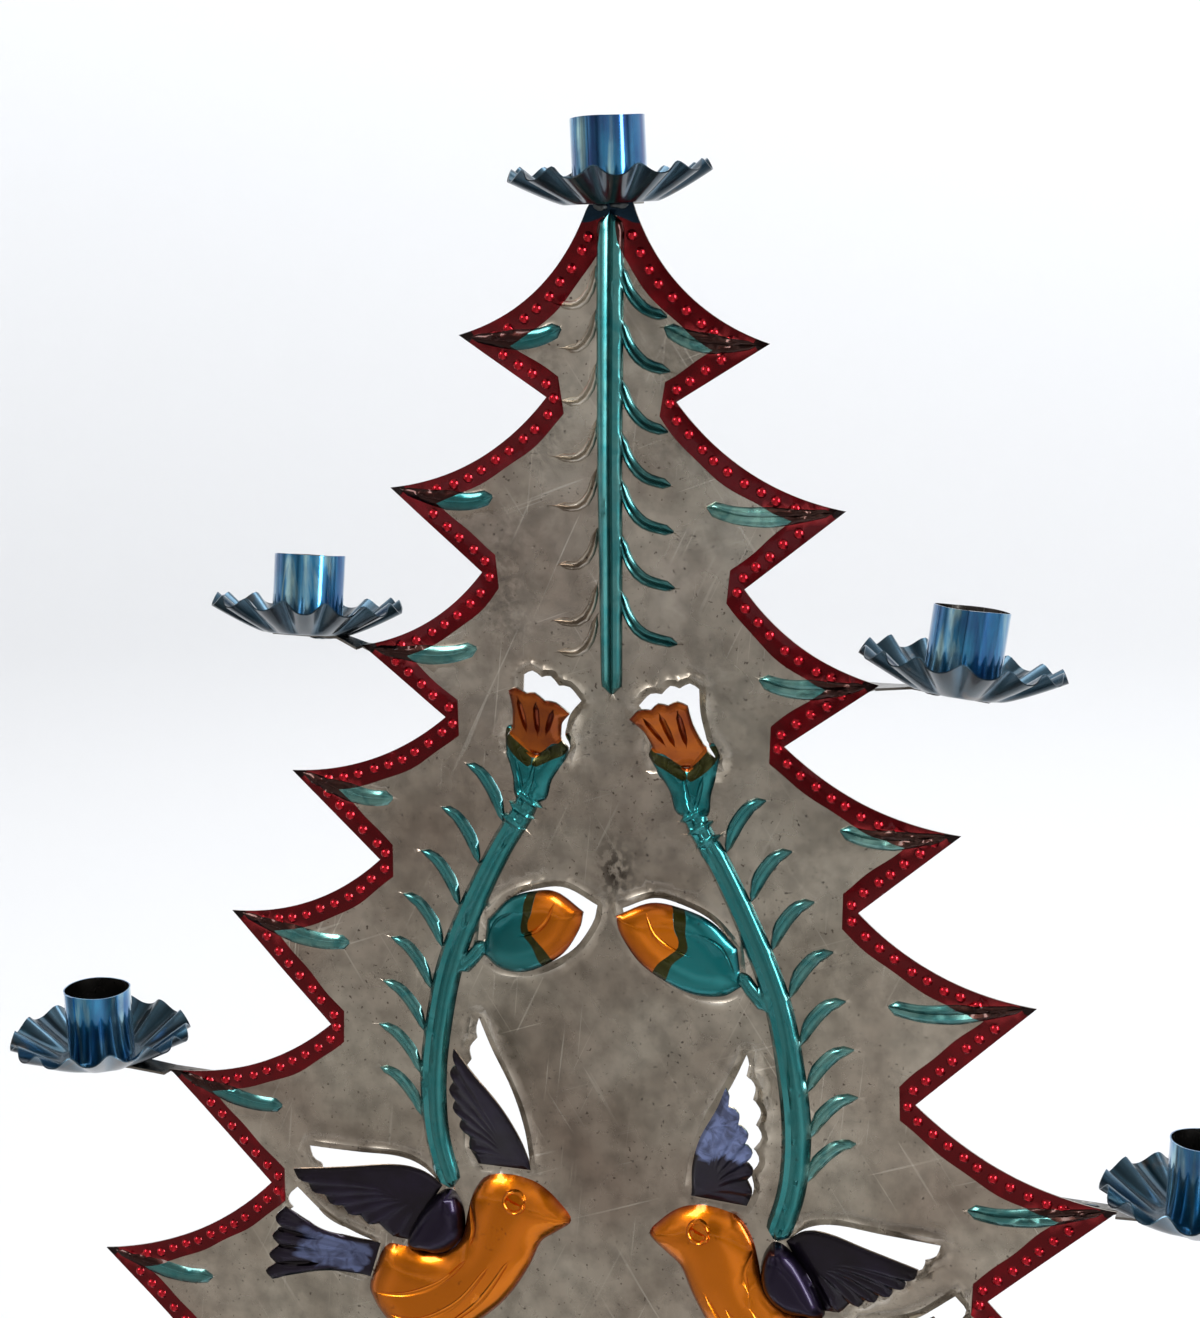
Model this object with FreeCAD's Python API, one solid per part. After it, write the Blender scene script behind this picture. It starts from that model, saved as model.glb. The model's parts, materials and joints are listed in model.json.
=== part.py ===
import FreeCAD, Part

import math
import os

# Painted tin tree-of-life candelabrum. Millimetres, +Z up, +X to the viewer's right, -Y to the front.
# The origin is the middle of the base's underside, and the tree's sheet stands in the plane Y = 0.
# Every piece is cut from sheet metal and soldered to the next one, so nothing moves.
# Outline points are (x, drop): x from the centre line, drop down from the top of the tree.

from FreeCAD import Placement, Rotation, Vector

# ---- driving dimensions ----
SHEET = 0.5                 # tin of the tree
PANEL_TOP = 620.0           # height of the tree's top edge above the table
NECK_HALF = 7.0             # half width of the tree's top edge
TOP_TAB_DEPTH = 9.0         # tab folded back under the top drip pan

# Tips and notches of the nine tiers, from the top down.
TIPS = [(50, 40), (74, 88), (85, 139), (111, 182), (135, 232), (161, 291), (189, 360), (214, 426), (238, 490)]
NOTCHES = [(21, 58), (43, 113), (56, 160), (80, 209), (99, 267), (123, 326), (148, 396), (170, 462)]
EAVE_SAG = [7.5, 6, 4.5, 5, 5.5, 6, 6, 6, 6]     # how far each tier's upper edge sags below its chord

HEM = (197, 524)            # corner under the lowest tip
TRUNK_SHOULDER = (30, 540)  # where the hem meets the trunk
HEM_RISE = 10.0             # rise of the hem above its chord
TRUNK_FOOT = (36, 592)      # the trunk's foot on the base
TRUNK_SAG = 2.5
FOOT_TAB_DEPTH = 16.0       # tab folded back on the base

CUP_OUTER_R = 11.2          # candle cups: rolled tube for 21 mm tapers
CUP_WALL = 0.4
CUP_HEIGHT = 25.0
PAN_R = 30.0                # drip pans: fluted dishes
PAN_FLAT_R = 14.0
PAN_RISE = 9.0
PAN_SHEET = 0.4
PAN_FLUTES = 14
PAN_WAVE = 1.8              # flute depth each side at the rim

ARM_WIDTH = 8.5             # arms: strips under the outer pans
ARM_SHEET = 0.8
ARM_LAP = 18.0              # length soldered behind the tree's tip
ARM_FLANGE_IN = 8.0         # height of the soldered flange at its inner end ...
ARM_FLANGE_OUT = 1.0        # ... and at the tip
ARM_FLAT_IN = 13.0          # the strip lies flat under the pan from here ...
ARM_FLAT_OUT = 10.0         # ... to here, measured from the pan's centre

BASE_LENGTH = 300.0
BASE_DEPTH = 130.0
BASE_HEIGHT = PANEL_TOP - TRUNK_FOOT[1]
BASE_SHEET = 0.8
BASE_CORNER_R = 6.0

STRUT_WIDTH = 14.0          # two braces from the tree's back to the base
STRUT_SHEET = 1.2
STRUT_X = 24.0
STRUT_TOP = 170.0           # height where a brace meets the tree
STRUT_LAP = 14.0
STRUT_FOOT_Y = 48.0

# Candle holders: name, centre x, centre drop, tilt back, lean to the viewer's left (degrees), tip index.
# Each one was set by hand, so no two lean alike. The lowest pair sits on the ninth tier.
HOLDERS = [
    ("top", 0, 0, 0, 3, None),
    ("upper_left", -105, 136.5, 8, 0, 2),
    ("upper_right", 109, 139.5, 7, -6, 2),
    ("middle_left", -188, 290.5, -3, 1, 5),
    ("middle_right", 186, 290.5, 1, -1, 5),
    ("lower_left", -262, 489.5, 2, -1, 8),
    ("lower_right", 262, 489.0, 1, 1, 8),
]

# Cut-outs on the right half, mirrored to the left. The tin inside each one stays joined along its
# hinge and is bent forward. A run of two points is straight, a longer one is a smooth curve.
FLOWER = [
    [(34, 168), (34.5, 164.5), (31.5, 160)],
    [(31.5, 160), (29.5, 152), (29, 144.3)],
    [(29, 144.3), (26, 142.8), (22.8, 144.6)],
    [(22.8, 144.6), (19.8, 144), (17, 146.8)],
    [(17, 146.8), (13.3, 147), (9.5, 151)],
    [(9.5, 151), (13.2, 155.5), (15, 161.5)],
    [(15, 161.5), (13.3, 165.5), (15, 170)],
    [(15, 170), (34, 168)],
]
BUD = [
    [(42, 224.5), (34, 216.8), (25, 212.8), (15, 211.3), (4.2, 215.8)],
    [(4.2, 215.8), (6, 222), (13, 231.5), (26, 239), (37, 240), (43.5, 236.5)],
    [(43.5, 236.5), (42, 224.5)],
]
UPPER_WING = [
    [(45.5, 258), (41, 268), (34, 281), (29.5, 294), (27.5, 307)],
    [(27.5, 307), (46, 307.5)],
    [(46, 307.5), (48.3, 301.5), (47.3, 296.5)],
    [(47.3, 296.5), (50, 292), (48.3, 288)],
    [(48.3, 288), (50.8, 284), (49, 280)],
    [(49, 280), (50.5, 276), (48, 272)],
    [(48, 272), (48.6, 268), (45.8, 264.5)],
    [(45.8, 264.5), (46.4, 261), (45.5, 258)],
]
OUTER_WING = [
    [(59, 317), (66, 311.5), (75, 309.3), (90, 310), (108, 310.5)],
    [(108, 310.5), (106.8, 314), (103.5, 315.5)],
    [(103.5, 315.5), (102.5, 319), (98.5, 320)],
    [(98.5, 320), (97, 323.8), (93, 324.5)],
    [(93, 324.5), (91.2, 328), (87.5, 328.5)],
    [(87.5, 328.5), (85, 332), (81.5, 332)],
    [(81.5, 332), (77, 337), (72, 338)],
    [(72, 338), (59, 317)],
]
TAIL = [
    [(82, 341), (91, 338.8), (102, 334.5), (113, 326)],
    [(113, 326), (116.5, 329.8), (114.8, 333.5)],
    [(114.8, 333.5), (118, 336.8), (116, 340.5)],
    [(116, 340.5), (119.5, 343.8), (117.5, 347.3)],
    [(117.5, 347.3), (121, 350), (119, 353.5)],
    [(119, 353.5), (102, 351), (86, 353.5)],
    [(86, 353.5), (82, 341)],
]
# Name, outline, hinge ends and how far the flap is bent forward (degrees).
FLAPS = [
    ("flower", FLOWER, (15, 170), (34, 168), 30),
    ("bud", BUD, (43.5, 236.5), (42, 224.5), 15),
    ("upper_wing", UPPER_WING, (27.5, 307), (46, 307.5), 24),
    ("outer_wing", OUTER_WING, (72, 338), (59, 317), 22),
    ("tail", TAIL, (86, 353.5), (82, 341), 26),
]
CENTRE_FLOWER_DROP = 250    # the flower over the trunk repeats the upper ones, this much lower
CENTRE_FLOWER_X = -21.5     # shift that brings its middle to the centre line

FLAP_SHRINK = 0.985         # the shears took a little off each flap
HINGE_OVERLAP = 0.4


# ---- shape helpers ----
def point(x, drop, y=0.0):
    """A point of the tree's sheet, in the part's frame."""
    return Vector(x, y, PANEL_TOP - drop)


def edge_through(points):
    """A straight edge through two points, or a smooth one through more."""
    if len(points) == 2:
        return Part.makeLine(points[0], points[1])
    curve = Part.BSplineCurve()
    curve.interpolate(points)
    return curve.toShape()


def outline_wire(runs, side=1, shift_x=0.0, shift_drop=0.0):
    """The closed wire of a cut-out. side is -1 for the mirrored one on the left."""
    edges = []
    for run in runs:
        placed = [point(side * (x + shift_x), drop + shift_drop) for x, drop in run]
        edges.append(edge_through(placed))
    return Part.Wire(Part.sortEdges(edges)[0])


def sheet_from(wire, thickness=SHEET):
    """A plate of the sheet's thickness, centred on the plane Y = 0."""
    face = Part.makeFace(wire, "Part::FaceMakerSimple")
    plate = face.extrude(Vector(0, thickness, 0))
    plate.translate(Vector(0, -thickness / 2, 0))
    return plate


def sagged_edge(start, end, sag):
    """An arc between two points whose middle lies sag below the chord (above it if negative)."""
    chord = end.sub(start)
    normal = Vector(chord.z, 0, -chord.x)
    normal.normalize()
    if normal.z > 0:
        normal = normal.negative()
    middle = start.add(end).multiply(0.5).add(normal.multiply(sag))
    return Part.Arc(start, middle, end).toShape()


def bent_strip(path, thickness, width):
    """A strip bent along a path of (y, z) points, with its width along X and centred on X = 0."""
    left = []
    right = []
    for index, (y, z) in enumerate(path):
        before = path[max(index - 1, 0)]
        after = path[min(index + 1, len(path) - 1)]
        directions = []
        for a, b in ((before, (y, z)), ((y, z), after)):
            length = math.hypot(b[0] - a[0], b[1] - a[1])
            if length > 0:
                directions.append(((b[0] - a[0]) / length, (b[1] - a[1]) / length))
        ty = sum(d[0] for d in directions) / len(directions)
        tz = sum(d[1] for d in directions) / len(directions)
        # A mitred corner is longer than the strip is thick.
        reach = thickness / (ty * ty + tz * tz)
        left.append(Vector(-width / 2, y, z))
        right.append(Vector(-width / 2, y - tz * reach, z + ty * reach))
    polygon = Part.makePolygon(left + right[::-1] + [left[0]])
    return Part.Face(polygon).extrude(Vector(width, 0, 0))


def export(name, shape):
    """Write one node, as its solid without seams left over from joining."""
    solid = shape.removeSplitter()
    if len(solid.Solids) == 1:
        solid = solid.Solids[0]
    box = solid.BoundBox
    print("%-24s solids %d valid %s volume %.1f  x %.1f..%.1f y %.1f..%.1f z %.1f..%.1f" % (
        name, len(solid.Solids), solid.isValid(), solid.Volume,
        box.XMin, box.XMax, box.YMin, box.YMax, box.ZMin, box.ZMax))
    solid.exportStep("parts/%s.step" % name)


# ---- the tree ----
def neck_point(side):
    """An end of the tree's top edge, cut to the lean of the top candle holder."""
    lean = math.radians(HOLDERS[0][4])
    return point(side * NECK_HALF, -side * NECK_HALF * math.tan(lean))


def tree_outline():
    """The closed outline: both sides' tiers, the trunk and the neck."""
    edges = []
    feet = []
    for side in (1, -1):
        here = neck_point(side)
        for index, tip in enumerate(TIPS):
            tip_point = point(side * tip[0], tip[1])
            edges.append(sagged_edge(here, tip_point, EAVE_SAG[index]))
            here = tip_point
            if index < len(NOTCHES):
                notch = NOTCHES[index]
                notch_point = point(side * notch[0], notch[1])
                edges.append(Part.makeLine(here, notch_point))
                here = notch_point
        hem = point(side * HEM[0], HEM[1])
        edges.append(Part.makeLine(here, hem))
        shoulder = point(side * TRUNK_SHOULDER[0], TRUNK_SHOULDER[1])
        foot = point(side * TRUNK_FOOT[0], TRUNK_FOOT[1])
        edges.append(sagged_edge(hem, shoulder, -HEM_RISE))
        bow = Vector(side * ((TRUNK_SHOULDER[0] + TRUNK_FOOT[0]) / 2 - TRUNK_SAG), 0,
                     (shoulder.z + foot.z) / 2)
        edges.append(Part.Arc(shoulder, bow, foot).toShape())
        feet.append(foot)
    edges.append(Part.makeLine(neck_point(1), neck_point(-1)))
    edges.append(Part.makeLine(feet[0], feet[1]))
    return Part.Wire(Part.sortEdges(edges)[0])


def bent_flap(runs, hinge_a, hinge_b, angle, side, shift_x=0.0, shift_drop=0.0):
    """The tin of one cut-out, bent forward about its hinge."""
    a = point(side * (hinge_a[0] + shift_x), hinge_a[1] + shift_drop)
    b = point(side * (hinge_b[0] + shift_x), hinge_b[1] + shift_drop)
    wire = outline_wire(runs, side, shift_x, shift_drop)
    flap = sheet_from(wire.scaled(FLAP_SHRINK, wire.BoundBox.Center))
    axis = b.sub(a)
    axis.normalize()
    # The flap reaches a little past its hinge, so that it stays one piece with the sheet.
    towards_hinge = a.add(b).multiply(0.5).sub(flap.CenterOfMass)
    across = towards_hinge.sub(Vector(axis).multiply(towards_hinge.dot(axis)))
    reach = across.Length * (1 - FLAP_SHRINK) + HINGE_OVERLAP
    across.normalize()
    flap.translate(Vector(across).multiply(reach))
    # The far end has to come forward, to -Y, whichever way the hinge runs.
    turn = Rotation(axis, angle)
    if turn.multVec(across.negative()).y > 0:
        turn = Rotation(axis, -angle)
    flap.Placement = Placement(Vector(0, 0, 0), turn, a).multiply(flap.Placement)
    return flap


def tree_panel():
    """One sheet: outline, cut-outs, lifted flaps, and the folded tabs at its top and foot."""
    panel = sheet_from(tree_outline())
    places = []
    for name, runs, hinge_a, hinge_b, angle in FLAPS:
        for side in (1, -1):
            places.append((runs, hinge_a, hinge_b, angle, side, 0.0, 0.0))
    flower = FLAPS[0]
    places.append((flower[1], flower[2], flower[3], flower[4], 1, CENTRE_FLOWER_X, CENTRE_FLOWER_DROP))
    for runs, hinge_a, hinge_b, angle, side, shift_x, shift_drop in places:
        hole = sheet_from(outline_wire(runs, side, shift_x, shift_drop), 4 * SHEET)
        panel = panel.cut(hole)
    flaps = [bent_flap(*place) for place in places]

    lean = HOLDERS[0][4]
    top_tab = Part.makeBox(2 * NECK_HALF, SHEET / 2 + TOP_TAB_DEPTH, SHEET,
                           Vector(-NECK_HALF, -SHEET / 2, -SHEET))
    top_tab.Placement = Placement(Vector(0, 0, PANEL_TOP), Rotation(Vector(0, 1, 0), -lean)).multiply(
        top_tab.Placement)
    foot_tab = Part.makeBox(2 * TRUNK_FOOT[0], SHEET / 2 + FOOT_TAB_DEPTH, SHEET,
                            Vector(-TRUNK_FOOT[0], -SHEET / 2, BASE_HEIGHT))
    return panel.multiFuse(flaps + [top_tab, foot_tab])


# ---- candle holders ----
def holder_placement(holder):
    """Where a holder's own frame lies: its origin is the middle of the pan's underside."""
    name, x, drop, back, left, tip = holder
    tilt = Rotation(Vector(0, 1, 0), -left).multiply(Rotation(Vector(1, 0, 0), -back))
    return Placement(point(x, drop), tilt)


def rim_wire(radius, height, wave, count=8):
    """A closed smooth curve whose height rises and falls with the flutes."""
    steps = PAN_FLUTES * count
    slope = math.atan2(PAN_RISE, PAN_R - PAN_FLAT_R)
    points = []
    for step in range(steps):
        angle = 2 * math.pi * step / steps
        swing = wave * math.cos(PAN_FLUTES * angle)
        reach = radius - swing * math.sin(slope)
        points.append(Vector(reach * math.cos(angle), reach * math.sin(angle),
                             height + swing * math.cos(slope)))
    curve = Part.BSplineCurve()
    curve.interpolate(points, True)
    return Part.Wire(curve.toShape())


def drip_pan():
    """A fluted dish of thin sheet: flat in the middle, with flutes that deepen towards the rim."""
    lift = PAN_SHEET / math.cos(math.atan2(PAN_RISE, PAN_R - PAN_FLAT_R))
    lower_foot = rim_wire(PAN_FLAT_R, 0, 0)
    upper_foot = rim_wire(PAN_FLAT_R, lift, 0)
    lower_rim = rim_wire(PAN_R, PAN_RISE, PAN_WAVE)
    upper_rim = rim_wire(PAN_R, PAN_RISE + lift, PAN_WAVE)
    faces = [
        Part.makeRuledSurface(lower_foot.Edges[0], lower_rim.Edges[0]),
        Part.makeRuledSurface(upper_foot.Edges[0], upper_rim.Edges[0]),
        Part.makeRuledSurface(lower_rim.Edges[0], upper_rim.Edges[0]),
        Part.Face(lower_foot),
        Part.Face(upper_foot),
    ]
    shell = Part.makeShell([face for item in faces for face in item.Faces])
    shell.sewShape()
    solid = Part.makeSolid(shell)
    if solid.Volume < 0:
        solid.reverse()
    return solid, lift


def candle_cup(floor):
    """A short open tube on the pan's floor."""
    outer = Part.makeCylinder(CUP_OUTER_R, CUP_HEIGHT, Vector(0, 0, floor))
    inner = Part.makeCylinder(CUP_OUTER_R - CUP_WALL, CUP_HEIGHT + 2, Vector(0, 0, floor - 1))
    return outer.cut(inner)


def strip_section(placement, x, y_low, y_high):
    """The strip's cross-section at x of a frame whose plane Z = 0 is the strip's upper face."""
    corners = [(y_low, 0), (y_high, 0), (y_high, -ARM_SHEET), (y_low, -ARM_SHEET)]
    points = [placement.multVec(Vector(x, y, z)) for y, z in corners]
    return Part.makePolygon(points + [points[0]])


def candle_arm(holder):
    """A strip from behind the tree's tip, twisted to lie flat under its tilted pan."""
    name, x, drop, back, left, tip_index = holder
    side = 1 if x > 0 else -1
    tip_x, tip_drop = TIPS[tip_index]
    at_pan = holder_placement(holder)
    at_tip = Placement(point(side * tip_x, tip_drop), Rotation())
    half = ARM_WIDTH / 2
    sections = [
        strip_section(at_tip, 0, -half, half),
        strip_section(at_pan, -side * ARM_FLAT_IN, -half, half),
        strip_section(at_pan, side * ARM_FLAT_OUT, -half, half),
    ]
    strip = Part.makeLoft(sections, True, True)
    back_of_sheet = SHEET / 2
    inner_x = -ARM_LAP if side > 0 else 0
    lap = Part.makeBox(ARM_LAP, half - back_of_sheet, ARM_SHEET, Vector(inner_x, back_of_sheet, -ARM_SHEET))
    corners = [(-side * ARM_LAP, 0), (0, 0), (0, -ARM_FLANGE_OUT), (-side * ARM_LAP, -ARM_FLANGE_IN)]
    outline = [Vector(x, back_of_sheet, z) for x, z in corners]
    flange = Part.Face(Part.makePolygon(outline + [outline[0]])).extrude(Vector(0, ARM_SHEET, 0))
    for piece in (lap, flange):
        piece.Placement = at_tip.multiply(piece.Placement)
    return strip.multiFuse([lap, flange])


# ---- base and braces ----
def base_box():
    """An upturned tray with rounded corners."""
    solid = Part.makeBox(BASE_LENGTH, BASE_DEPTH, BASE_HEIGHT, Vector(-BASE_LENGTH / 2, -BASE_DEPTH / 2, 0))
    uprights = [e for e in solid.Edges if abs(e.Vertexes[0].X - e.Vertexes[1].X) < 1e-6
                and abs(e.Vertexes[0].Y - e.Vertexes[1].Y) < 1e-6]
    solid = solid.makeFillet(BASE_CORNER_R, uprights)
    hollow = Part.makeBox(BASE_LENGTH - 2 * BASE_SHEET, BASE_DEPTH - 2 * BASE_SHEET, BASE_HEIGHT - BASE_SHEET,
                          Vector(-BASE_LENGTH / 2 + BASE_SHEET, -BASE_DEPTH / 2 + BASE_SHEET, 0))
    inner_uprights = [e for e in hollow.Edges if abs(e.Vertexes[0].X - e.Vertexes[1].X) < 1e-6
                      and abs(e.Vertexes[0].Y - e.Vertexes[1].Y) < 1e-6]
    hollow = hollow.makeFillet(BASE_CORNER_R - BASE_SHEET, inner_uprights)
    return solid.cut(hollow)


def back_strut(side):
    """A brace from the back of the tree down to the rear of the base, with a tab at each end."""
    back_of_sheet = SHEET / 2
    top = BASE_HEIGHT + STRUT_TOP
    path = [
        (back_of_sheet, top + STRUT_LAP),
        (back_of_sheet, top),
        (STRUT_FOOT_Y, BASE_HEIGHT),
        (STRUT_FOOT_Y + STRUT_LAP, BASE_HEIGHT),
    ]
    strut = bent_strip(path, STRUT_SHEET, STRUT_WIDTH)
    strut.translate(Vector(side * STRUT_X, 0, 0))
    return strut


def main():
    os.makedirs("parts", exist_ok=True)
    export("tree_panel", tree_panel())
    pan, floor = drip_pan()
    cup = candle_cup(floor)
    for holder in HOLDERS:
        placement = holder_placement(holder)
        for name, shape in (("drip_pan", pan), ("candle_cup", cup)):
            placed = shape.copy()
            placed.Placement = placement.multiply(placed.Placement)
            export("%s_%s" % (name, holder[0]), placed)
        if holder[5] is not None:
            export("candle_arm_%s" % holder[0], candle_arm(holder))
    export("base_box", base_box())
    export("back_strut_left", back_strut(-1))
    export("back_strut_right", back_strut(1))


main()
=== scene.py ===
import json
import math

import bmesh
import bpy
import numpy as np
from mathutils import Matrix, Vector
from mathutils.geometry import delaunay_2d_cdt
from mathutils.kdtree import KDTree
from mathutils.noise import turbulence


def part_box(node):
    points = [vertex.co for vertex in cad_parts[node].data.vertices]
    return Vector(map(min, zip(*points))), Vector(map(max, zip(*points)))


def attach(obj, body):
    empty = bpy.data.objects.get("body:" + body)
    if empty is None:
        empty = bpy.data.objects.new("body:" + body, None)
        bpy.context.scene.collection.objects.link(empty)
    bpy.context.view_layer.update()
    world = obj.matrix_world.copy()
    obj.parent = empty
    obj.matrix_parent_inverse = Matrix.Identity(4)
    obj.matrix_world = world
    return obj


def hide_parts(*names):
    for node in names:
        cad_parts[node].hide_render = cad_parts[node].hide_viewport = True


# A tree-of-life candle holder of embossed tin, painted with see-through lacquers.
#
# The tree's sheet is drawn flat, in millimetres, as (x, drop): x from the centre line and drop down from
# the tree's top edge. One triangle mesh of the flat sheet is made first. The embossing, the flaps that
# are bent out of the sheet and the thin layers of lacquer are all shaped from that mesh.

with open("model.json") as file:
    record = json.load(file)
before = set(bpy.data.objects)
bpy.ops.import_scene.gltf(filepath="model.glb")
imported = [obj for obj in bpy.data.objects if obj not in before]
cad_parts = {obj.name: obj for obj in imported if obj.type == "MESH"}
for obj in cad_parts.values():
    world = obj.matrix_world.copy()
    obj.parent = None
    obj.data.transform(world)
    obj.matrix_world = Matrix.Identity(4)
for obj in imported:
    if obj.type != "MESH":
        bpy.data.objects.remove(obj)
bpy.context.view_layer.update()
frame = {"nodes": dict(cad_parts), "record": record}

MM = 0.001

# ---- the sheet, as in the CAD model ----
SHEET = 0.5
NECK_HALF = 7.0
NECK_LEAN = 0.37            # one end of the top edge stands this much higher, the other lower
TIPS = [(50, 40), (74, 88), (85, 139), (111, 182), (135, 232), (161, 291), (189, 360), (214, 426), (238, 490)]
NOTCHES = [(21, 58), (43, 113), (56, 160), (80, 209), (99, 267), (123, 326), (148, 396), (170, 462)]
EAVE_SAG = [7.5, 6, 4.5, 5, 5.5, 6, 6, 6, 6]
HEM = (197, 524)
TRUNK_SHOULDER = (30, 540)
HEM_RISE = 10.0
TRUNK_FOOT = (36, 592)
TRUNK_SAG = 2.5
FOOT_TAB_DEPTH = 16.0
TOP_TAB_DEPTH = 9.0
ARM_LAP = 18.0              # length of each arm soldered behind its tip
TREE_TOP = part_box("tree_panel")[1].z / MM - NECK_LEAN

# Cut-outs on the right half, mirrored to the left: runs of points, each run a straight or smooth edge.
FLOWER = [
    [(34, 168), (34.5, 164.5), (31.5, 160)],
    [(31.5, 160), (29.5, 152), (29, 144.3)],
    [(29, 144.3), (26, 142.8), (22.8, 144.6)],
    [(22.8, 144.6), (19.8, 144), (17, 146.8)],
    [(17, 146.8), (13.3, 147), (9.5, 151)],
    [(9.5, 151), (13.2, 155.5), (15, 161.5)],
    [(15, 161.5), (13.3, 165.5), (15, 170)],
    [(15, 170), (34, 168)],
]
BUD = [
    [(42, 224.5), (34, 216.8), (25, 212.8), (15, 211.3), (4.2, 215.8)],
    [(4.2, 215.8), (6, 222), (13, 231.5), (26, 239), (37, 240), (43.5, 236.5)],
    [(43.5, 236.5), (42, 224.5)],
]
UPPER_WING = [
    [(45.5, 258), (41, 268), (34, 281), (29.5, 294), (27.5, 307)],
    [(27.5, 307), (46, 307.5)],
    [(46, 307.5), (48.3, 301.5), (47.3, 296.5)],
    [(47.3, 296.5), (50, 292), (48.3, 288)],
    [(48.3, 288), (50.8, 284), (49, 280)],
    [(49, 280), (50.5, 276), (48, 272)],
    [(48, 272), (48.6, 268), (45.8, 264.5)],
    [(45.8, 264.5), (46.4, 261), (45.5, 258)],
]
OUTER_WING = [
    [(59, 317), (66, 311.5), (75, 309.3), (90, 310), (108, 310.5)],
    [(108, 310.5), (106.8, 314), (103.5, 315.5)],
    [(103.5, 315.5), (102.5, 319), (98.5, 320)],
    [(98.5, 320), (97, 323.8), (93, 324.5)],
    [(93, 324.5), (91.2, 328), (87.5, 328.5)],
    [(87.5, 328.5), (85, 332), (81.5, 332)],
    [(81.5, 332), (77, 337), (72, 338)],
    [(72, 338), (59, 317)],
]
TAIL = [
    [(82, 341), (91, 338.8), (102, 334.5), (113, 326)],
    [(113, 326), (116.5, 329.8), (114.8, 333.5)],
    [(114.8, 333.5), (118, 336.8), (116, 340.5)],
    [(116, 340.5), (119.5, 343.8), (117.5, 347.3)],
    [(117.5, 347.3), (121, 350), (119, 353.5)],
    [(119, 353.5), (102, 351), (86, 353.5)],
    [(86, 353.5), (82, 341)],
]
# Each flap: its outline, the two ends of its hinge and the degrees it is bent forward.
FLAPS = {
    "flower": (FLOWER, (15, 170), (34, 168), 30),
    "bud": (BUD, (43.5, 236.5), (42, 224.5), 15),
    "upper_wing": (UPPER_WING, (27.5, 307), (46, 307.5), 24),
    "outer_wing": (OUTER_WING, (72, 338), (59, 317), 22),
    "tail": (TAIL, (86, 353.5), (82, 341), 26),
}
CENTRE_FLOWER_SHIFT = (-21.5, 250)
BEND_LENGTH = 4.0           # a flap's bend is spread over this much of it

# ---- decoration ----
BAND_WIDTH = 7.3            # red band along the outline
BEAD_SPACING = 5.6
BEAD_R = 1.8
BEAD_HEIGHT = 1.25
BIRD = [
    (13.5, 322), (18, 316), (24, 311.5), (31, 309.3), (38, 309.5), (44, 312), (48, 318), (50, 325),
    (52, 333), (58, 339.5), (66, 341), (73, 340), (80, 341.5), (86, 355), (85, 361), (80, 367.5),
    (72, 373), (63, 373.5), (54, 369), (46, 362), (39, 355.5), (33, 348), (28, 339.5), (24, 331), (19, 327),
]
BIRD_EYE = (31.5, 317)
STEM = [
    (25.5, 176), (29, 187), (37, 200), (47, 220), (55, 240), (59.5, 260), (61.8, 280), (60.5, 300),
    (55.5, 317),
]
DENTS = [(0.55, 95, 3), (0.16, 31, 4), (0.03, 9, 8)]      # height, wavelength and seed of each size of dent
LEAF_WIDTHS = (1.8, 4.6, 4.4, 2.6)

PITCH = 2.2                 # mesh spacing near the embossing
COARSE = 3                  # the plain areas keep one grid point in this many, each way
LACQUER = 0.07              # thickness of a layer of lacquer


# ---- plane geometry ----
def smooth(points, step=2.4, closed=False):
    """Points about every step mm along a smooth curve through hand-set points."""
    p = np.array(points, float)
    if closed:
        p = np.vstack([p[-1:], p, p[:2]])
    else:
        p = np.vstack([2 * p[0] - p[1], p, 2 * p[-1] - p[-2]])
    found = []
    for a, b, c, d in zip(p, p[1:], p[2:], p[3:]):
        count = max(1, int(round(np.hypot(*(c - b)) / step)))
        for t in np.arange(count) / count:
            found.append(0.5 * (2 * b + (c - a) * t + (2 * a - 5 * b + 4 * c - d) * t ** 2
                                + (3 * b - a - 3 * c + d) * t ** 3))
    if not closed:
        found.append(p[-2])
    return np.array(found)


def outline_of(runs, step=1.6):
    """One closed outline from runs that join end to end."""
    return np.vstack([smooth(run, step)[:-1] for run in runs])


def mirrored(points):
    return np.array(points, float) * (-1, 1)


def bowed(start, end, sag, step=2.3):
    """An edge whose middle hangs sag mm below its chord."""
    a, b = np.array(start, float), np.array(end, float)
    chord = b - a
    length = np.hypot(*chord)
    down = np.array([-chord[1], chord[0]]) / length
    if down[1] < 0:
        down = -down
    t = np.linspace(0, 1, max(2, int(length / step) + 1))[:, None]
    return a + t * chord + 4 * sag * t * (1 - t) * down


def run_length(line):
    """Distance along a line, at each of its points."""
    return np.concatenate([[0], np.cumsum(np.hypot(*np.diff(line, axis=0).T))])


def side_normals(line):
    """Unit normals of an open line, to the left of someone who walks along it and sees drop as down."""
    along = np.gradient(line, axis=0)
    along /= np.maximum(np.hypot(*along.T), 1e-9)[:, None]
    return np.stack([-along[:, 1], along[:, 0]], axis=1)


def crossing(a, b):
    """Where line a first meets line b: index on a, index on b and the point, or None."""
    p, r = a[:-1, None], np.diff(a, axis=0)[:, None]
    q, s = b[None, :-1], np.diff(b, axis=0)[None]
    cross = r[..., 0] * s[..., 1] - r[..., 1] * s[..., 0]
    cross = np.where(np.abs(cross) < 1e-12, 1e-12, cross)
    gap = q - p
    t = (gap[..., 0] * s[..., 1] - gap[..., 1] * s[..., 0]) / cross
    u = (gap[..., 0] * r[..., 1] - gap[..., 1] * r[..., 0]) / cross
    hits = np.argwhere((t >= 0) & (t <= 1) & (u >= 0) & (u <= 1))
    if len(hits) == 0:
        return None
    i, j = hits[0]
    return i, j, a[i] + t[i, j] * (a[i + 1] - a[i])


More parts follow.
